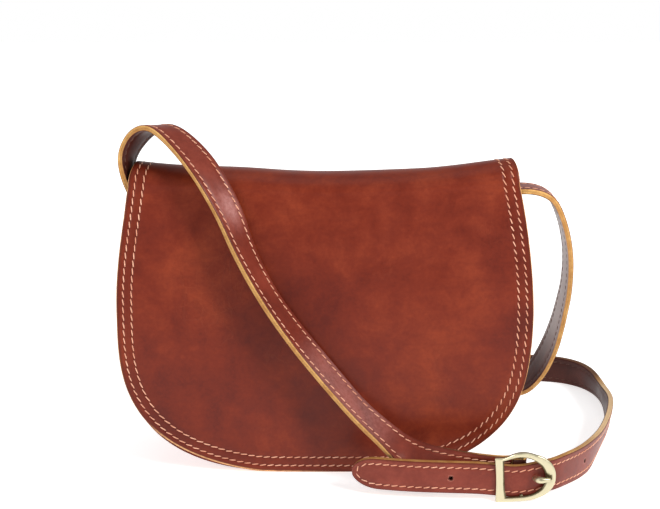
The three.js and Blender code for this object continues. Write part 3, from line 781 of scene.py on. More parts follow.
def makePanel(name, sign):
    layer = bag["leather"] + bag["clearance"]
    topZ = bagHeight - bag["panelTopDrop"]
    sides = []

    def halfOf(z):
        return float(halfAt(z)) - bag["flapOverhang"]

    def place(z, across, depth):
        half = halfAt(z) - bag["flapOverhang"]
        sides.append(half * (1 - abs(across)))
        x = half * across
        return np.stack([x, sign * faceDepth(x, z, layer + depth), z], -1)

    cols = edgedCols(bodyLook["cols"], bodyLook["edgeCols"], bodyLook["edgeBand"], halfWidth)
    points, faces, picks = slab(place, halfOf, bodyRows(topZ), cols, bag["leather"])
    rim = np.minimum(outlineGap(points, flapOutline(bag["flapOverhang"])), np.concatenate(sides))
    panel = makePiece(name, points, faces, picks, ["body", "suede", "flapEdge"], {"rim": rim})
    settle(panel, "bag_leather", "front_panel" if sign < 0 else "back_panel")


makePanel("bag_front_panel", -1)
makePanel("bag_back_panel", 1)


def gussetRoute():
    topZ = bagHeight - bag["gussetTopDrop"]
    inset = bag["flapOverhang"] + bag["gussetInset"]
    heights = np.linspace(topZ, widest, 24)
    angles = np.linspace(0, footAngle, 44)[1:]
    upper = np.stack([upperHalf(heights) - inset, heights], 1)
    lower = np.stack([lowerX(angles) - inset * np.cos(angles), lowerZ(angles)], 1)
    right = np.concatenate([upper, lower])
    foot = np.stack([np.linspace(right[-1, 0], -right[-1, 0], 22)[1:-1], np.zeros(20)], 1)
    return np.concatenate([right, foot, (right * [-1, 1])[::-1]])


def makeGusset():
    route = gussetRoute()
    ahead = np.gradient(route, axis=0)
    ahead /= np.linalg.norm(ahead, axis=1)[:, None]
    inwards = np.stack([ahead[:, 1], -ahead[:, 0]], 1)
    layer = 2 * (bag["leather"] + bag["clearance"])
    topZ = bagHeight - bag["gussetTopDrop"]

    def halfOf(row):
        x, z = route[int(row)]
        return float(faceDepth(x, z, layer))

    def place(row, across, depth):
        i = row.astype(int)
        x, z = route[i, 0], route[i, 1]
        tuck = bag["gussetTuck"] * np.clip((z - widest) / (topZ - widest), 0, None)
        tuck = tuck * (1 - across ** 2) * np.clip(abs(x) / 60, 0, 1)
        px = x + inwards[i, 0] * depth - np.sign(x) * tuck
        return np.stack([px, across * faceDepth(x, z, layer), z + inwards[i, 1] * depth], -1)

    shrink = np.zeros(len(route))
    shrink[0], shrink[-1] = 0.3, 0.3
    rows = list(zip(range(len(route)), shrink.tolist()))
    points, faces, picks = slab(place, halfOf, rows, np.linspace(-1, 1, 25), bag["leather"])
    rim = np.full(len(points), 30.0)
    gusset = makePiece("bag_gusset", points, faces, picks, ["body", "suede", "flapEdge"], {"rim": rim})
    settle(gusset, "bag_leather", "gusset")


makeGusset()
print("body made")


# Rings and their tabs
ringLook = {"wire": 2.6, "pitch": 10.0, "corner": 2.2, "sides": 14}
strapSize = {"width": 22.0, "cut": 21.2, "thickness": 4.0, "seat": 0.8, "tip": 18.0, "lift": 1.2}
rings = {
    "left": {"sign": -1, "inset": 4.0, "drop": 26.0, "lean": math.radians(12)},
    "right": {"sign": 1, "inset": 6.6, "drop": 19.0, "lean": math.radians(20)},
}
for ring in rings.values():
    z = bagHeight - ring["drop"]
    ring["upper"] = np.array([ring["sign"] * (float(upperHalf(z)) - ring["inset"]), 0.0, z])
    hang = np.array([-ring["sign"] * math.sin(ring["lean"]), 0.0, -math.cos(ring["lean"])])
    ring["lower"] = ring["upper"] + hang * ringLook["pitch"]


# A round bar along a closed or open line of points
def roundBar(line, radii, sides, closed):
    line = np.asarray(line, float)
    count = len(line)
    if closed:
        ahead = np.roll(line, -1, 0) - np.roll(line, 1, 0)
    else:
        ahead = np.gradient(line, axis=0)
    ahead /= np.linalg.norm(ahead, axis=1)[:, None]
    radii = np.broadcast_to(np.asarray(radii, float), (count,))
    side = np.cross(ahead[0], [0.31, 0.77, 0.55])
    points = []
    for i in range(count):
        side = side - ahead[i] * (side @ ahead[i])
        side /= np.linalg.norm(side)
        other = np.cross(ahead[i], side)
        turn = np.linspace(0, 2 * math.pi, sides, endpoint=False)
        points.append(line[i] + radii[i] * (np.cos(turn)[:, None] * side + np.sin(turn)[:, None] * other))
    last = count if closed else count - 1
    if closed:
        twist = bestTurn(points[-1], points[0], sides)
    faces = []
    for r in range(last):
        for k in range(sides):
            n = (k + 1) % sides
            nextRow = (r + 1) % count
            shift = twist if closed and nextRow == 0 else 0
            faces.append((r * sides + k, r * sides + n, nextRow * sides + (n + shift) % sides,
                          nextRow * sides + (k + shift) % sides))
    if not closed:
        faces.append(tuple(range(sides)))
        faces.append(tuple(range((count - 1) * sides, count * sides)))
    return np.concatenate(points), faces


def barPiece(name, line, radii, sides, closed, patina):
    points, faces = roundBar(line, radii, sides, closed)
    signs = {"patina": np.full(len(points), patina)}
    return makePiece(name, points, faces, [0] * len(faces), ["brass"], signs)


def bestTurn(fromRing, toRing, sides):
    gaps = [np.linalg.norm(fromRing - np.roll(toRing, -shift, 0), axis=1).sum() for shift in range(sides)]
    return int(np.argmin(gaps))


def makeRing(side):
    ring = rings[side]
    wire = ringLook["wire"]
    reach = (strapSize["width"] + 2 * bag["clearance"] + wire) / 2
    long = ring["upper"] - ring["lower"]
    pitch = np.linalg.norm(long)
    up = long / pitch
    corner = ringLook["corner"]
    middle = (ring["upper"] + ring["lower"]) / 2
    corners = [(1, 1), (-1, 1), (-1, -1), (1, -1)]

    def bend(index, angle):
        sideways, upwards = corners[index % 4]
        y = sideways * (reach - corner) + corner * math.cos(angle)
        z = upwards * (pitch / 2 - corner) + corner * math.sin(angle)
        return middle + np.array([0, y, 0]) + up * z

    line = []
    for index in range(4):
        angles = np.linspace(0, math.pi / 2, 7) + index * math.pi / 2
        line.extend(bend(index, angle) for angle in angles)
        first, last = line[-1], bend(index + 1, angles[-1])
        line.extend(first + (last - first) * t for t in np.linspace(0, 1, 9)[1:-1])
    points, faces = roundBar(line, wire / 2, ringLook["sides"], True)
    inner = 1 - np.linalg.norm(points - middle, axis=1) / (reach + wire)
    wireName = "ring_" + side + "_wire"
    piece = makePiece(wireName, points, faces, [0] * len(faces), ["brass"], {"patina": inner * 0.8})
    settle(piece, "antique_brass", "ring_" + side)


for side in rings:
    makeRing(side)


# A ribbon of leather along a line: flat section with rounded edges, used for tabs and the straps' loops
def ribbon(line, across, width, wall):
    line = np.asarray(line, float)
    ahead = np.gradient(line, axis=0)
    ahead /= np.linalg.norm(ahead, axis=1)[:, None]
    across = np.broadcast_to(np.asarray(across, float), line.shape)
    across = across - ahead * (across * ahead).sum(1)[:, None]
    across /= np.linalg.norm(across, axis=1)[:, None]
    out = np.cross(ahead, across)
    cols = edgedCols(13, 7, 4.6, width / 2)
    rows = list(zip(range(len(line)), [0.35] + [0] * (len(line) - 2) + [0.35]))
    rims = []

    def place(row, share, depth):
        i = row.astype(int)
        rims.append(width / 2 * (1 - abs(share)))
        return line[i] + across[i] * (share * width / 2)[:, None] + out[i] * (wall / 2 - depth)[:, None]

    points, faces, picks = slab(place, lambda row: width / 2, rows, cols, wall, 0.4)
    return points, faces, picks, np.concatenate(rims)


tabLook = {"length": 30.0, "narrower": 2.0, "tuckShare": 0.35}


def makeTab(side):
    ring = rings[side]
    wall = bag["leather"]
    radius = ringLook["wire"] / 2 + bag["clearance"] + wall / 2
    sign, lower = ring["sign"], ring["lower"]
    topZ = bagHeight - bag["gussetTopDrop"]

    def gussetX(z):
        tuck = bag["gussetTuck"] * max(0.0, (z - widest) / (topZ - widest)) * tabLook["tuckShare"]
        return float(upperHalf(z)) - bag["flapOverhang"] - bag["gussetInset"] - tuck

    line = []
    for angle in np.linspace(-250, 0, 30):
        turn = math.radians(angle)
        reach = abs(lower[0]) + radius * math.cos(turn)
        line.append((sign * reach, 0, lower[2] - radius * math.sin(turn)))
    places = [(lower[2] - 0.6, abs(lower[0]) + radius), (topZ + wall, None), (topZ - 6, None),
              (topZ - tabLook["length"] / 2, None), (topZ - tabLook["length"], None)]
    stand = wall / 2 + 2 * bag["clearance"]
    knots = [(z, x if x else gussetX(min(z, topZ)) + stand) for z, x in places]
    heights = np.array([k[0] for k in knots])[::-1]
    reach = np.array([k[1] for k in knots])[::-1]
    for z in np.linspace(knots[0][0], knots[-1][0], 26)[1:]:
        line.append((sign * float(np.interp(z, heights, reach)), 0, z))
    line = smoothLine(np.array(line), 2)
    width = strapSize["width"] - tabLook["narrower"]
    points, faces, picks, rim = ribbon(line, (0, sign, 0), width, wall)
    tab = makePiece("tab_" + side + "_leather", points, faces, picks, ["strap", "suede", "strapEdge"],
                    {"rim": rim, "hole": np.full(len(points), 9.0), "layer": np.full(len(points), 1.0)})
    settle(tab, "bag_leather", "tab_" + side)


def smoothLine(line, rounds):
    for _ in range(rounds):
        line[1:-1] = (line[:-2] + 2 * line[1:-1] + line[2:]) / 4
    return line


for side in rings:
    makeTab(side)
print("rings and tabs made")


# Buckle: the same places as its frame
buckle = {
    "end": 6.5,
    "keeper": 6.2,
    "keeperWaist": 0.7,
    "keeperFoot": 1.0,                     # how much wider its lower end is
    "keeperLean": 0.05,
    "tilt": 0.8,
    "thickness": 2.4,
    "barFromKeeper": 17.5,
    "bar": 2.8,
    "lug": 2.2,
    "prong": 3.0,
    "prongEye": 1.5,
    "prongTaper": 0.12,
    "prongEntry": 7.0,
    "prongBend": 10.5,
    "prongLift": 1.1,
    "prongShort": 3.6,
    "prongDrops": (0.8, 0.1, -0.3),        # under the buckle's middle where it enters, bends and ends
    "prongNeck": 0.8,
    "prongSwell": 0.74,
    "prongSwellAt": 0.68,
    "prongSwellReach": 0.25,
    "prongRound": 0.9,
    "holeAhead": -2.0,
    "ahead": 41.0,
    "endFullness": 0.9,
    "endRound": 1.05,
}
# Heights over and under its middle: the keeper, the loop beside it, the loop's outer and inner line
buckleSides = {
    1: {"keeper": 14.2, "shoulder": 14.0, "outer": 15.9, "inner": 12.0,
        "fullness": 1.3, "roundFrom": 0.0, "bow": 4.0, "bowTo": 21.8},
    -1: {"keeper": 16.4, "shoulder": 16.3, "outer": 16.3, "inner": 13.1,
         "fullness": 0.9, "roundFrom": -4.7, "bow": 0.0, "bowTo": 15.8},
}
buckleLeft, buckleRight = frameLow[0], frameHigh[0]
buckleHalf = (frameHigh[2] - frameLow[2]) / 2
buckleZ = (frameHigh[2] + frameLow[2]) / 2
buckleY = -(footHalfDepth + buckle["ahead"])
strapThickness = strapSize["thickness"]
buckleFaceY = buckleY - strapThickness / 2 - bag["clearance"] - buckle["thickness"] / 2
barX = buckleLeft + buckle["barFromKeeper"]
barY = buckleY + strapThickness / 2 + 2 * bag["clearance"] + buckle["bar"] / 2 + bag["leather"]
railStart = buckleLeft + buckle["keeper"]
roundStart = buckleRight - buckleHalf * buckle["endRound"]


def buckleHalfLine(inner, side):
    look = buckleSides[side]
    endX = buckleRight - buckle["end"] if inner else buckleRight
    keeperX = railStart if inner else buckleLeft
    half = look["inner"] if inner else look["outer"]
    shoulder, keeperHalf = (half, half) if inner else (look["shoulder"], look["keeper"])
    turnX = roundStart + look["roundFrom"]
    rise = np.sin(np.linspace(0, math.pi / 2, 16))
    rail = list(zip(np.linspace(railStart, turnX, 16), shoulder + (half - shoulder) * rise))
    turn = np.linspace(0, math.pi / 2, 26)[1:]
    cosine = np.clip(np.cos(turn), 0, 1)
    fullness = look["fullness"] if inner else buckle["endFullness"]
    arc = list(zip(turnX + (endX - turnX) * np.sin(turn), half * cosine ** fullness))
    keeper = [(keeperX, keeperHalf * t) for t in np.linspace(0, 1, 14)]
    shares = np.linspace(0, 1, 10)[1:-1]
    rises = keeperHalf + (shoulder - keeperHalf) * ease(shares, 0.6, 1)
    corner = list(zip(keeperX + (railStart - keeperX) * shares, rises))
    return np.array(keeper + corner + rail + arc) * [1, side]


def buckleLine(inner):
    line = np.concatenate([buckleHalfLine(inner, 1), buckleHalfLine(inner, -1)[-2:0:-1]])
    atKeeper = 1 - ease(line[:, 0], railStart, railStart + 5)
    line[:, 0] -= line[:, 1] * buckle["keeperLean"] * atKeeper
    if inner:
        line[:, 0] += buckle["keeperFoot"] * ease(-line[:, 1], 7, 13) * atKeeper
    else:
        line[:, 0] += buckle["keeperWaist"] * np.clip(1 - (line[:, 1] / buckleHalf) ** 2, 0, 1) * atKeeper
    return (np.roll(line, 1, 0) + 2 * line + np.roll(line, -1, 0)) / 4


def railBow(x, side):
    share = (x - railStart + 1.5) / buckleSides[side]["bowTo"]
    return buckleSides[side]["bow"] * math.sin(share * math.pi) ** 1.4 if 0 < share < 1 else 0


def makeBuckleFrame():
    outer, inner = buckleLine(False), buckleLine(True)
    sides = 20
    turn = np.linspace(0, 2 * math.pi, sides, endpoint=False)
    bulge = 0.62
    sideways = np.sign(np.cos(turn)) * abs(np.cos(turn)) ** bulge
    thick = np.sign(np.sin(turn)) * abs(np.sin(turn)) ** bulge
    points, patina = [], []
    for (ox, oz), (ix, iz) in zip(outer, inner):
        middle, reach = np.array([(ox + ix) / 2, (oz + iz) / 2]), np.array([(ox - ix) / 2, (oz - iz) / 2])
        for s, t in zip(sideways, thick):
            x, z = middle + reach * s
            bow = railBow(x, 1 if middle[1] > 0 else -1)
            atEnd = x > buckleRight - buckle["end"] - 1 and t > 0
            notch = math.exp(-(z / 2.4) ** 2 - (max(s, -0.4) + 0.4) ** 2 / 0.3) if atEnd else 0
            tilt = buckle["tilt"] * ease(x, railStart, roundStart)
            y = buckleFaceY + bow + notch - t * buckle["thickness"] / 2
            points.append((x, y, buckleZ + z + tilt))
            patina.append(0.6 * (s < -0.5) + 0.8 * (notch > 0.3) + 0.3 * (t < 0.1) + 0.2 * (s > 0.95))
    count = len(outer)
    faces = [(r * sides + k, r * sides + (k + 1) % sides, (r + 1) % count * sides + (k + 1) % sides,
              (r + 1) % count * sides + k) for r in range(count) for k in range(sides)]
    plate = makePiece("buckle_plate", points, faces, [0] * len(faces), ["brass"], {"patina": patina})
    span = buckleSides[1]["inner"] + 0.5
    bar = [(barX, barY, buckleZ + z) for z in np.linspace(-span, span, 20)]
    extras = [barPiece("bar", bar, buckle["bar"] / 2, 16, False, 0.6)]
    for sign in (-1, 1):
        y = np.linspace(barY, buckleFaceY + railBow(barX, sign) - 0.4, 8)
        lug = [(barX, v, buckleZ + sign * span) for v in y]
        extras.append(barPiece("lug", lug, buckle["lug"] / 2, 12, False, 0.6))
    joinPieces(plate, extras)
    settle(plate, "antique_brass", "buckle_frame")


def smoothCurve(knots, perSpan=24):
    knots = np.asarray(knots, float)
    first, last = 2 * knots[0] - knots[1], 2 * knots[-1] - knots[-2]
    points = np.concatenate([[first], knots, [last]])
    line, where = [], []
    for i in range(len(knots) - 1):
        p0, p1, p2, p3 = points[i:i + 4]
        d0, d1, d2 = (np.linalg.norm(b - a) ** 0.5 for a, b in ((p0, p1), (p1, p2), (p2, p3)))
        t1 = ((p1 - p0) / d0 - (p2 - p0) / (d0 + d1) + (p2 - p1) / d1) * d1
        t2 = ((p2 - p1) / d1 - (p3 - p1) / (d1 + d2) + (p3 - p2) / d2) * d1
        t = np.linspace(0, 1, perSpan, endpoint=False)[:, None]
        step = p2 - p1
        line.append(p1 + t1 * t + (3 * step - 2 * t1 - t2) * t ** 2 + (t1 + t2 - 2 * step) * t ** 3)
        where.append(i + t[:, 0])
    line.append(knots[-1:])
    where.append([len(knots) - 1.0])
    return np.concatenate(line), np.concatenate(where)


def makeProng():
    faceY = buckleFaceY - buckle["thickness"] / 2
    tipY = faceY - bag["clearance"] - (1 - buckle["prongTaper"]) * buckle["prong"] * 0.6
    entryZ, bendZ, tipZ = (buckleZ - drop for drop in buckle["prongDrops"])
    knots = [(barX + buckle["bar"] / 2 + bag["clearance"], barY - buckle["prongEye"], buckleZ),
             (barX + buckle["prongEntry"], buckleY + strapThickness / 8, entryZ),
             (barX + buckle["prongBend"], faceY - buckle["prongLift"], bendZ),
             (buckleRight - buckle["prongShort"], tipY, tipZ)]
    line, _ = smoothCurve(knots)
    share = np.linspace(0, 1, len(line))
    peak = np.exp(-((share - buckle["prongSwellAt"]) / buckle["prongSwellReach"]) ** 2)
    swelling = buckle["prongNeck"] + buckle["prongSwell"] * peak
    radii = buckle["prong"] / 2 * (1 - buckle["prongTaper"] * share) * swelling
    ahead = line[-1] - line[-2]
    ahead /= np.linalg.norm(ahead)
    tip = radii[-1] * buckle["prongRound"]
    cap = np.linspace(0, math.pi / 2, 7)
    line = np.concatenate([line[:-1], [line[-1] + ahead * (tip * math.sin(a) - tip) for a in cap]])
    radii = np.concatenate([radii[:-1], [radii[-1] * max(math.cos(a), 0.08) for a in cap]])
    prong = barPiece("buckle_prong_pin", line, radii, 14, False, 0.02)
    eyeRadius = buckle["bar"] / 2 + bag["clearance"] + buckle["prongEye"] / 2
    circle = [(barX + eyeRadius * math.cos(a), barY + eyeRadius * math.sin(a), buckleZ)
              for a in np.linspace(0, 2 * math.pi, 28, endpoint=False)]
    eyePoints, eyeFaces = roundBar(circle, buckle["prongEye"] / 2, 12, True)
    eyePoints[:, 2] = buckleZ + (eyePoints[:, 2] - buckleZ) * 2.6
    eye = makePiece("eye", eyePoints, eyeFaces, [0] * len(eyeFaces), ["brass"],
                    {"patina": np.full(len(eyePoints), 0.5)})
    joinPieces(prong, [eye])
    settle(prong, "antique_brass", "buckle_prong")


makeBuckleFrame()
makeProng()
print("buckle made")


# Straps: the stations follow the frame's route, with a little more twist
flapRoute = [
    {"x": -0.948, "z": 0.93, "forward": 0, "across": (0.05, 1, -0.03)},
    {"x": -0.951, "z": 1.013, "forward": 0.04, "across": (0.3, 0.94, -0.12)},
    {"x": -0.92, "z": 1.068, "forward": 0.11, "across": (0.5, 0.85, -0.15)},
    {"x": -0.87, "z": 1.117, "forward": 0.22, "across": (0.6, 0.79, -0.14)},
    {"x": -0.795, "z": 1.141, "forward": 0.37, "across": (0.62, 0.78, -0.12)},
    {"x": -0.73, "z": 1.121, "forward": 0.55, "across": (0.62, 0.78, 0.0)},
    {"x": -0.667, "z": 1.082, "forward": 0.74, "across": (0.6, 0.78, 0.16)},
    {"x": -0.61, "z": 1.038, "forward": 0.93, "across": (0.59, 0.75, 0.28)},
    {"x": -0.553, "z": 0.985, "ahead": 0, "across": (0.6, 0.73, 0.33)},
    {"x": -0.452, "z": 0.855, "ahead": 0, "across": (0.64, 0.75, 0.2)},
    {"x": -0.376, "z": 0.721, "ahead": 0, "across": (0.47, 0.87, 0.07)},
    {"x": -0.266, "z": 0.571, "ahead": 0, "across": (0.38, 0.92, 0.06)},
    {"x": -0.122, "z": 0.422, "ahead": 0, "across": (0.38, 0.9, 0.16)},
    {"x": -0.026, "z": 0.335, "ahead": 0, "across": (0.38, 0.89, 0.2)},
    {"x": 0.07, "z": 0.253, "ahead": 0.06, "across": (0.34, 0.91, 0.22)},
    {"x": 0.165, "z": 0.18, "ahead": 0.22, "across": (0.31, 0.93, 0.2)},
    {"x": 0.262, "z": 0.122, "ahead": 0.44, "across": (0.24, 0.92, 0.3)},
]
landing = [
    {"left": 3.2, "behind": 0.4, "up": 0.36, "across": (0.16, 0.72, 0.68)},
    {"left": 2.33, "behind": 0.05, "up": 0.236, "across": (0.06, 0.25, 0.97)},
    {"left": 1.33, "behind": 0, "up": 0.087, "across": (0, 0.05, 1)},
    {"left": 0.665, "behind": 0, "up": 0.019, "across": (0, 0, 1)},
]
fall = [
    (0.1, 0, 0.911, (0, 1, 0)), (0.18, 0.002, 0.91, (0, 1, 0)), (0.256, 0.008, 0.902, (0, 1, 0)),
    (0.336, 0.017, 0.883, (0, 1, 0)), (0.427, 0.038, 0.808, (0, 1, 0)), (0.502, 0.084, 0.69, (0, 1, 0)),
    (0.525, 0.15, 0.553, (-0.02, 1, 0.02)), (0.517, 0.2, 0.479, (-0.06, 1, 0.04)),
    (0.496, 0.246, 0.394, (-0.12, 0.99, 0.04)), (0.449, 0.3, 0.292, (-0.25, 0.96, -0.08)),
    (0.359, 0.355, 0.19, (-0.38, 0.87, -0.3)), (0.227, 0.4, 0.112, (-0.48, 0.66, -0.57)),
    (0.058, 0.437, 0.073, (-0.34, 0.36, -0.87)), (-0.154, 0.463, 0.058, (-0.1, 0.1, -0.99)),
]
# Places on the floor, and how far the strap's top edge leans to the right there
floorLoop = [
    (0.4, 0.482, 0), (0.22, 0.5, 0), (0.12, 0.56, 0), (0.07, 0.66, 0), (0.065, 0.78, 0), (0.105, 0.89, 0),
    (0.2, 0.96, 0), (0.36, 1.02, 0), (0.54, 1.03, 0), (0.7, 1.035, 0), (0.81, 1.015, -0.06),
    (0.895, 0.98, -0.14), (0.957, 0.9, -0.2), (0.991, 0.78, -0.26), (1.001, 0.63, -0.3),
    (0.998, 0.48, -0.16), (0.993, 0.355, 0.06), (0.969, 0.2, 0.16), (0.932, 0.03, 0.25),
    (0.884, -0.25, 0.24),
]
nearRise = [(0.448, 1.83, 0.2), (0.304, 1.2, 0.45), (0.152, 0.64, 0.8)]
# Left of the bar and behind the buckle in strap widths, and how many millimetres lower than its middle
tipRun = [
    (-0.83, 0.06, -0.2), (-0.5, 0.02, 0.8), (-0.2, 0, 2.4), (0.08, 0, 3.4), (0.38, 0, 3.3), (0.7, 0, 2.3),
    (1.15, 0, 1.3), (2.1, 0.02, 0.8), (2.95, 0.08, 0.8), (3.7, 0.19, 0.9), (4.35, 0.33, 0.9),
    (4.92, 0.52, 0.8),
]
routes = {"archTop": 1.13, "archHeight": 22.5, "loopReach": 212.0, "loopBack": 130.0, "holePitch": 53.0}
loopRadius = {
    "ring": ringLook["wire"] / 2 + bag["clearance"],
    "bar": buckle["bar"] / 2 + bag["clearance"],
}
loopBack = {"ring": 12.0, "bar": 33.0}     # how far a folded end runs back along the strap


def unit(vector):
    vector = np.asarray(vector, float)
    return vector / np.linalg.norm(vector)


def buckleSideStations():
    upper = rings["left"]["upper"]
    width, leather = strapSize["width"], bag["leather"]
    start = upper + [-strapThickness / 4, 0, loopRadius["ring"] + leather - strapSize["seat"]]
    stations = [(start, (0, 1, 0))]
    for s in flapRoute:
        across = unit(s["across"])
        over = max(0, s["z"] - 1) * routes["archHeight"] / (routes["archTop"] - 1)
        place = np.array([s["x"] * halfWidth, 0, buckleZ + min(1, s["z"]) * (bagHeight - buckleZ) + over])
        if "forward" in s:
            place[1] = -s["forward"] * width
        else:
            edge = place + across * width / 2
            lift = strapSize["lift"] + strapThickness / 2 + s["ahead"] * width
            place[1] = -faceDepth(edge[0], edge[2], 0) - lift - across[1] * width / 2
        stations.append((place, across))
    for s in landing:
        offset = np.array([-s["left"], s["behind"], s["up"]]) * width
        stations.append((np.array([barX, barY, buckleZ]) + offset, unit(s["across"])))
    end = np.array([barX - loopRadius["bar"] - leather + strapSize["seat"], barY, buckleZ])
    return stations + [(end, (0, 0, 1))]


def tipSideStations():
    upper = rings["right"]["upper"]
    width = strapSize["width"]
    reach, back = routes["loopReach"], routes["loopBack"]
    floorZ = width / 2 + bag["clearance"] / 3
    down = (0, 0, -1)
    start = upper + [loopRadius["ring"] + bag["leather"] - strapSize["seat"], 0, 0]
    stations = [(start, (0, 1, 0))]
    for x, y, z, across in fall:
        stations.append(((upper[0] + x * (reach - upper[0]), y * back, z * bagHeight), unit(across)))
    for x, y, lean in floorLoop:
        stations.append(((x * reach, y * back if y > 0 else -y * buckleY, floorZ), unit((-lean, 0, -1))))
    for x, behind, up in nearRise:
        z = floorZ + (buckleZ - floorZ) * up
        stations.append(((buckleRight + x * (reach - buckleRight), buckleY + behind * width, z), down))
    for x, behind, lower in tipRun:
        stations.append(((barX - x * width, buckleY + behind * width, buckleZ - lower), down))
    return stations


# Values at every millimetre are evened out over a reach, and the two ends stay where they are
def evened(values, reach):
    span = 3 * reach
    weights = np.exp(-0.5 * (np.arange(-span, span + 1) / reach) ** 2)
    weights /= weights.sum()
    before = 2 * values[0] - values[span:0:-1]
    after = 2 * values[-1] - values[-2:-span - 2:-1]
    padded = np.concatenate([before, values, after])
    return np.stack([np.convolve(padded[:, i], weights, "valid") for i in range(3)], 1)


def pick(values, at, places):
    return np.stack([np.interp(at, places, values[:, i]) for i in range(3)], -1)


class StrapPath:
    def __init__(self, stations):
        places = np.array([s[0] for s in stations], float)
        edges = np.array([s[1] for s in stations], float)
        line, where = smoothCurve(places, 60)
        steps = np.linalg.norm(np.diff(line, axis=0), axis=1)
        alongs = np.concatenate([[0], np.cumsum(steps)])
        even = np.linspace(0, alongs[-1], int(alongs[-1]) + 1)
        knots = np.interp(np.arange(len(places)), where, alongs)
        self.line = evened(pick(line, even, alongs), 5)
        self.edges = evened(pick(edges, even, knots), 9)
        self.alongs = even
        self.length = float(even[-1])

    def at(self, along):
        along = np.clip(np.asarray(along, float), 0, self.length)
        near = 0.8
        place = pick(self.line, along, self.alongs)
        ahead = pick(self.line, along + near, self.alongs) - pick(self.line, along - near, self.alongs)
        ahead /= np.linalg.norm(ahead, axis=-1)[..., None]
        across = pick(self.edges, along, self.alongs)
        across = across - ahead * (across * ahead).sum(-1)[..., None]
        across /= np.linalg.norm(across, axis=-1)[..., None]
        return place, ahead, across, np.cross(ahead, across)

    def surface(self, along, sideways, height):
        place, _, across, out = self.at(along)
        sideways, height = (np.broadcast_to(v, np.shape(along)) for v in (sideways, height))
        return place + across * sideways[..., None] + out * height[..., None]


strapFinish = {"step": 1.6, "rim": 0.42, "groove": 0.22, "row": 3.5, "crown": 0.12, "layerGroove": 0.22}


# One side of the strap's section: distance in from the edge and height over the middle, edge to edge
def strapSection():
    half, top = strapSize["cut"] / 2, strapThickness / 2
    rim, row = strapFinish["rim"], half - strapFinish["row"]
    face = [(half - rim, 0.0), (half - 1.2, 0.02), (row + 0.9, 0.02), (row, -strapFinish["groove"]),
            (row - 0.9, 0.0), (row - 3.0, strapFinish["crown"]), (row / 4, strapFinish["crown"])]
    outer = [(-w, top + h) for w, h in face] + [(w, top + h) for w, h in face[::-1]]
    edge = [(half - rim * 0.3, top - rim * 0.3), (half, top - rim), (half, 0.35),
            (half - strapFinish["layerGroove"], 0.0), (half, -0.35), (half, rim - top),
            (half - rim * 0.3, rim * 0.3 - top)]
    inner = [(w, -h) for w, h in outer[::-1]]
    section = outer + edge + inner + [(-w, h) for w, h in edge[::-1]]
    side = [0, 0, *[2] * (len(edge) - 3), 1, 1]
    kinds = [0] * (len(outer) - 1) + side + [1] * (len(inner) - 1) + side[::-1]
    return np.array(section), kinds


# A mark along a strap, such as a painted sheen, a painted highlight, a darker stretch or a rougher patch:
# how far from its ring it starts, is full, begins to fade and has gone
def stretch(where, starts, full, fades, gone):
    return ease(where, starts, full) * (1 - ease(where, fades, gone))


def sweptStrap(name, path, tipLength, holes):
    section, kinds = strapSection()
    count = len(section)
    body = np.linspace(0, path.length - tipLength, int((path.length - tipLength) / strapFinish["step"]))
    alongs = body
    if tipLength:
        turn = np.linspace(0, math.pi / 2, 26)[1:]
        alongs = np.concatenate([body, path.length - tipLength * (1 - np.sin(turn))])
    half = strapSize["cut"] / 2
    toEnd = (path.length - alongs) / max(tipLength, 1e-6)
    full = np.ones(len(alongs))
    if tipLength:
        full = np.sqrt(np.clip(1 - (1 - np.clip(toEnd, 0, 1)) ** 2, 0.002, 1))
    points = []
    for along, share in zip(alongs, full):
        w = section[:, 0] * share
        edge = half * share
        keep = np.clip(edge / 3.0, 0, 1)
        thick = section[:, 1] * (0.55 + 0.45 * keep)
        points.append(path.surface(np.full(count, along), w, thick))
    points = np.concatenate(points)
    faces, picks = [], []
    for r in range(len(alongs) - 1):
        for k in range(count):
            n = (k + 1) % count
            faces.append((r * count + k, r * count + n, (r + 1) * count + n, (r + 1) * count + k))
            picks.append(kinds[k])
    faces.append(tuple(range(count)))
    faces.append(tuple(range((len(alongs) - 1) * count, len(alongs) * count)))
    picks.extend([2, 2])
    rim = np.concatenate([half * s - abs(section[:, 0]) * s for s in full])
    layer = np.tile(section[:, 1], len(alongs))
    where = np.repeat(alongs, count)
    sideways = np.concatenate([section[:, 0] * s for s in full])
    hole = np.full(len(points), 20.0)
    for at in holes:
        hole = np.minimum(hole, np.hypot(where - at, sideways))
    signs = {"rim": rim, "layer": layer, "hole": hole}
    if tipLength:
        signs["tipward"] = ease(where, path.length - 160, path.length - 110)
        # painted sheen on the lining round the arc by the right ring
        signs["buffed"] = stretch(where, 15, 55, 128, 182)
        # a darker edge along the far pass
        signs["soiled"] = stretch(where, 470, 510, 590, 610)
        # a painted highlight on the edge after it
        signs["bleached"] = stretch(where, 600, 625, 690, 770)
    else:
        # painted sheen: a spot near one edge where the strap bends over the fold, and a longer stretch
        # lower down
        signs["polish"] = np.exp(-((where - 134) / 11) ** 2 - ((sideways - 1.5) / 6) ** 2)
        signs["polish"] += 0.5 * stretch(where, 225, 262, 300, 330)
        signs["matte"] = stretch(where, 300, 318, 352, 366)
        # a darker edge from here to the buckle
        signs["soiled"] = ease(where, 338, 356)
    return makePiece(name, points, faces, picks, ["strap", "lining", "strapEdge"], signs)


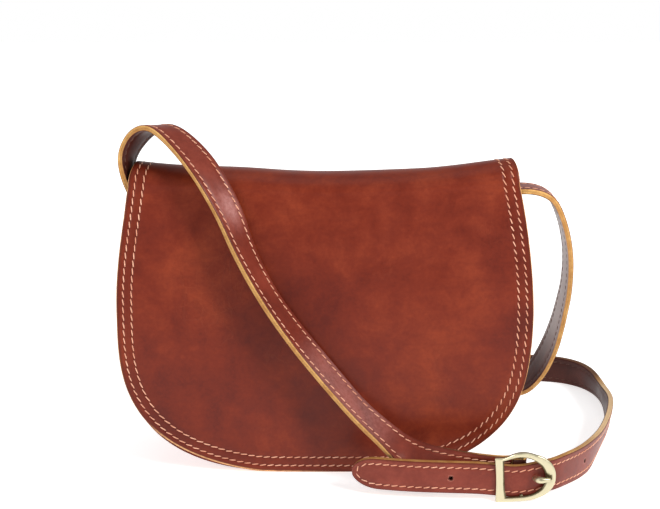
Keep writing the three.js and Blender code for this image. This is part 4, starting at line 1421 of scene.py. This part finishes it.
# Leather turned round a bar and sewn back on the strap's inner side
def foldedEnd(path, centre, atStart, kind):
    wall = bag["leather"]
    radius = loopRadius[kind] + wall / 2
    _, ahead, across, out = path.at(0.0 if atStart else path.length)
    ahead = ahead if atStart else -ahead
    ahead = ahead - across * (ahead @ across)
    ahead /= np.linalg.norm(ahead)
    turn = np.linspace(-0.2, math.pi + 0.3, 30)
    line = [centre + radius * (math.cos(a) * out - math.sin(a) * ahead) for a in turn]
    lead = 6.0
    first = centre + radius * out + ahead * lead
    line = [first + (line[0] - first) * t for t in np.linspace(0, 1, 6)[:-1]] + line
    alongs = np.linspace(lead, loopBack[kind], 20)
    depth = strapThickness / 2 - wall / 2 - 0.12
    inside = path.surface(alongs if atStart else path.length - alongs, 0.0, -depth)
    line = smoothLine(np.array([*line, *inside]), 4)
    points, faces, picks, rim = ribbon(line, across if atStart else -across, strapSize["cut"], wall)
    count = len(points)
    return makePiece("loop", points, faces, picks, ["strap", "lining", "strapEdge"],
                     {"rim": rim, "layer": np.full(count, 1.0), "hole": np.full(count, 20.0)})


paths = {"buckleSide": StrapPath(buckleSideStations()), "tipSide": StrapPath(tipSideStations())}
print("strap lengths", round(paths["buckleSide"].length), round(paths["tipSide"].length))


def nearestAlong(path, point):
    alongs = np.linspace(path.length / 2, path.length, 1200)
    gaps = np.linalg.norm(path.at(alongs)[0] - point, axis=1)
    return float(alongs[int(np.argmin(gaps))])


prongAlong = nearestAlong(paths["tipSide"], np.array([barX + buckle["prongEntry"], buckleY, buckleZ]))
holes = [prongAlong + n * routes["holePitch"] for n in (-2, -1, 0, 1)]
holes[2] += buckle["holeAhead"]
holeSize = {"round": 2.5, "prong": 3.4}


def drillHoles(strap, path):
    cutters = []
    for index, at in enumerate(holes):
        place, _, _, out = path.at(at)
        size = holeSize["prong"] if index == 2 else holeSize["round"]
        line = [place + out * t for t in np.linspace(-4, 4, 3)]
        points, faces = roundBar(line, size / 2, 18, False)
        cutters.append(makePiece("cutter", points, faces, [0] * len(faces), ["lining"]))
    joinPieces(cutters[0], cutters[1:])
    cut = strap.modifiers.new("holes", "BOOLEAN")
    cut.operation = "DIFFERENCE"
    cut.object = cutters[0]
    cut.solver = "EXACT"
    bakeModifiers(strap)
    bpy.data.objects.remove(cutters[0])


def bakeModifiers(piece):
    shaped = bpy.data.meshes.new_from_object(piece.evaluated_get(bpy.context.evaluated_depsgraph_get()))
    piece.modifiers.clear()
    piece.data = shaped


def makeStraps():
    near, far = paths["buckleSide"], paths["tipSide"]
    strap = sweptStrap("strap_with_buckle", near, 0.0, [])
    joinPieces(strap, [foldedEnd(near, rings["left"]["upper"], True, "ring"),
                       foldedEnd(near, np.array([barX, barY, buckleZ]), False, "bar")])
    settle(strap, "strap_leather", "strap_buckle_side")
    strap = sweptStrap("strap_with_tip", far, strapSize["tip"], holes)
    drillHoles(strap, far)
    joinPieces(strap, [foldedEnd(far, rings["right"]["upper"], True, "ring")])
    settle(strap, "strap_leather", "strap_tip_side")


makeStraps()
print("straps made")


# Stitches: Geometry Nodes lay one stitch at each pitch along a sewn line
stitchLook = {
    "pitch": 5.15,
    "length": 5.05,
    "width": 0.84,
    "height": 0.8,
    "sink": 0.3,                           # how deep a stitch's ends go
    "slant": 12.0,
    "jitter": (0.7, 1.3),
    "steeper": 0.7,                        # how much steeper the flap's stitches are on its right
    "seed": 4,
}


def stitchShape():
    rounds, sides = 7, 6
    length, width, height = stitchLook["length"], stitchLook["width"], stitchLook["height"]
    points, faces = [], []
    for r in range(rounds):
        share = -1 + 2 * r / (rounds - 1)
        full = max(0.22, math.sqrt(max(0.0, 1 - abs(share) ** 3.2)))
        drop = -stitchLook["sink"] * abs(share) ** 4
        for k in range(sides):
            turn = 2 * math.pi * k / sides
            points.append((share * length / 2, math.cos(turn) * width / 2 * full,
                           drop + height / 2 * full * math.sin(turn)))
    for r in range(rounds - 1):
        for k in range(sides):
            n = (k + 1) % sides
            faces.append((r * sides + k, r * sides + n, (r + 1) * sides + n, (r + 1) * sides + k))
    faces.extend([tuple(range(sides)), tuple(range((rounds - 1) * sides, rounds * sides))])
    shape = makePiece("stitch", points, faces, [0] * len(faces), ["thread"])
    shape.hide_render = True
    return shape


def stitchTree(shape):
    tree = bpy.data.node_groups.new("sewing", "GeometryNodeTree")
    sizes = {"Pitch": stitchLook["pitch"] * millimetre, "Slant": math.radians(stitchLook["slant"])}
    inputs = {"Geometry": "Geometry", **dict.fromkeys([*sizes, "Size"], "Float"), "Seed": "Int"}
    for name, kind in {**inputs, "Thread": "Material"}.items():
        tree.interface.new_socket(name, in_out="INPUT", socket_type="NodeSocket" + kind)
    tree.interface.new_socket("Geometry", in_out="OUTPUT", socket_type="NodeSocketGeometry")

    def node(kind, **settings):
        made = tree.nodes.new(kind)
        for name, value in settings.items():
            setattr(made, name, value)
        return made

    given = node("NodeGroupInput")
    result = node("NodeGroupOutput")
    line = node("GeometryNodeMeshToCurve")
    spread = node("GeometryNodeResampleCurve", mode="LENGTH")
    tangent = node("GeometryNodeInputTangent")
    facing = node("GeometryNodeInputNamedAttribute", data_type="FLOAT_VECTOR")
    facing.inputs["Name"].default_value = "facing"
    lay = node("FunctionNodeAlignRotationToVector", axis="X")
    stand = node("FunctionNodeAlignRotationToVector", axis="Z", pivot_axis="X")
    jitter = node("FunctionNodeRandomValue", data_type="FLOAT")
    jitter.inputs[2].default_value, jitter.inputs[3].default_value = stitchLook["jitter"]
    slant = node("ShaderNodeMath", operation="MULTIPLY")
    steeper = node("GeometryNodeInputNamedAttribute", data_type="FLOAT")
    steeper.inputs["Name"].default_value = "steeper"
    turned = node("ShaderNodeMath", operation="MULTIPLY")
    turn = node("ShaderNodeCombineXYZ")
    spin = node("FunctionNodeEulerToRotation")
    rotate = node("FunctionNodeRotateRotation", rotation_space="LOCAL")
    source = node("GeometryNodeObjectInfo")
    source.inputs["Object"].default_value = shape
    place = node("GeometryNodeInstanceOnPoints")
    real = node("GeometryNodeRealizeInstances")
    paint = node("GeometryNodeSetMaterial")
    links = [
        (given, "Geometry", line, "Mesh"), (line, "Curve", spread, "Curve"),
        (given, "Pitch", spread, "Length"), (tangent, "Tangent", lay, "Vector"),
        (lay, "Rotation", stand, "Rotation"),
        (facing, "Attribute", stand, "Vector"), (given, "Seed", jitter, "Seed"), (jitter, 1, slant, 0),
        (given, "Slant", slant, 1), (slant, 0, turned, 0), (steeper, "Attribute", turned, 1),
        (turned, 0, turn, "Z"), (turn, 0, spin, 0), (stand, "Rotation", rotate, "Rotation"),
        (spin, 0, rotate, "Rotate By"), (spread, "Curve", place, "Points"),
        (source, "Geometry", place, "Instance"), (rotate, 0, place, "Rotation"),
        (given, "Size", place, "Scale"), (given, "Thread", paint, "Material"),
        (place, "Instances", real, "Geometry"),
        (real, "Geometry", paint, "Geometry"), (paint, "Geometry", result, "Geometry"),
    ]
    for start, output, end, slot in links:
        tree.links.new(start.outputs[output], end.inputs[slot])
    return tree, sizes


stitch = stitchShape()
sewing, sewingSizes = stitchTree(stitch)


def sewLines(name, lines, slot, thread="thread", size=1.0):
    points, edges, facing, steeper = [], [], [], []
    for line, normals in lines:
        start = len(points)
        points.extend((np.asarray(line) * millimetre).tolist())
        facing.extend(np.asarray(normals).tolist())
        more = stitchLook["steeper"] if slot == "bag_leather" else 0
        steeper.extend((1 + more * ease(line[:, 0], 60, 118)).tolist())
        edges.extend((i, i + 1) for i in range(start, len(points) - 1))
    mesh = bpy.data.meshes.new(name)
    mesh.from_pydata(points, edges, [])
    standing = mesh.attributes.new("facing", "FLOAT_VECTOR", "POINT")
    standing.data.foreach_set("vector", np.ravel(facing).astype(np.float32))
    mesh.attributes.new("steeper", "FLOAT", "POINT").data.foreach_set("value", np.float32(steeper))
    sewn = bpy.data.objects.new(name, mesh)
    bpy.context.scene.collection.objects.link(sewn)
    modifier = sewn.modifiers.new("sewing", "NODES")
    modifier.node_group = sewing
    values = {**sewingSizes, "Seed": stitchLook["seed"], "Size": size, "Thread": finishes[thread]}
    for item in sewing.interface.items_tree:
        if item.item_type == "SOCKET" and item.in_out == "INPUT" and item.name in values:
            modifier[item.identifier] = values[item.name]
    bakeModifiers(sewn)
    faceOut(sewn.data)
    sewn.data.polygons.foreach_set("use_smooth", np.ones(len(sewn.data.polygons), bool))
    settle(sewn, slot)


def flapRow(inset):
    up = np.linspace(flapLook["backSeam"], 3, 150)
    sides = []
    for sign in (-1, 1):
        half = np.array([flapHalf(v) for v in up])
        share = sign * (1 - inset / half)
        sides.append((flapPlace(up, share, 0.0), flapPlace(up, share, bag["leather"])))
    low = flapOutline(inset)
    y = -faceDepth(low[:, 0], low[:, 1], 0.0)
    outer = np.stack([low[:, 0], y, low[:, 1]], 1)
    inner = np.stack([low[:, 0], y + bag["leather"], low[:, 1]], 1)
    line = np.concatenate([sides[1][0], outer[1:-1], sides[0][0][::-1]])
    back = np.concatenate([sides[1][1], inner[1:-1], sides[0][1][::-1]])
    normal = line - back
    normal /= np.linalg.norm(normal, axis=1)[:, None]
    return worn(line - normal * 0.12), normal


def backSeam():
    row = flapLook["backSeam"]
    reach = 1 - flapLook["rows"][0] / flapHalf(row)
    across = np.linspace(-reach, reach, 120)
    line = flapPlace(row, across, 0.0)
    normal = line - flapPlace(row, across, bag["leather"])
    normal /= np.linalg.norm(normal, axis=1)[:, None]
    return worn(line - normal * 0.12), normal


def panelSeam(sign):
    inset = bag["flapOverhang"] + bodyLook["seam"]
    heights = np.linspace(bagHeight - bag["panelTopDrop"] - bodyLook["seam"], widest, 60)
    upper = np.stack([upperHalf(heights) - inset, heights], 1)
    line = np.concatenate([upper, flapOutline(inset)[1:-1], (upper * [-1, 1])[::-1]])
    y = sign * (faceDepth(line[:, 0], line[:, 1], bag["leather"] + bag["clearance"]) - 0.1)
    return np.stack([line[:, 0], y, line[:, 1]], 1), np.tile([0.0, sign, 0.0], (len(line), 1))


def strapRows(path, tipLength, first, last, faces):
    row = strapSize["cut"] / 2 - strapFinish["row"]
    lines = []
    for face in faces:
        straight = np.arange(first, path.length - last, 1.5)
        height = face * (strapThickness / 2 - 0.1)
        if tipLength:
            turn = np.linspace(0, math.pi, 40)
            reach = tipLength - strapFinish["row"]
            tipArc = path.length - tipLength + reach * np.sin(turn)
            along = np.concatenate([straight, tipArc, straight[::-1]])
            level = np.full(len(straight), row)
            runs = [(along, np.concatenate([-level, -row * np.cos(turn), level]))]
        else:
            runs = [(straight, np.full(len(straight), -row)), (straight, np.full(len(straight), row))]
        for along, side in runs:
            out = path.at(along)[3]
            lines.append((path.surface(along, side, height), out * face))
    return lines


sewLines("flap_stitches", [*(flapRow(inset) for inset in flapLook["rows"]), backSeam()], "bag_leather")
sewLines("panel_stitches", [panelSeam(-1), panelSeam(1)], "bag_leather")
for side, tip, last in (("buckleSide", 0.0, 6.0), ("tipSide", strapSize["tip"], strapSize["tip"] - 0.5)):
    name = "strap_buckle_side" if side == "buckleSide" else "strap_tip_side"
    sewLines(name + "_stitches", strapRows(paths[side], tip, 5.0, last, (1,)), "strap_leather")
    sewLines(name + "_back_stitches", strapRows(paths[side], tip, 5.0, last, (-1,)), "strap_leather",
             "backThread", 0.75)
bpy.data.objects.remove(stitch)
print("stitches sewn")
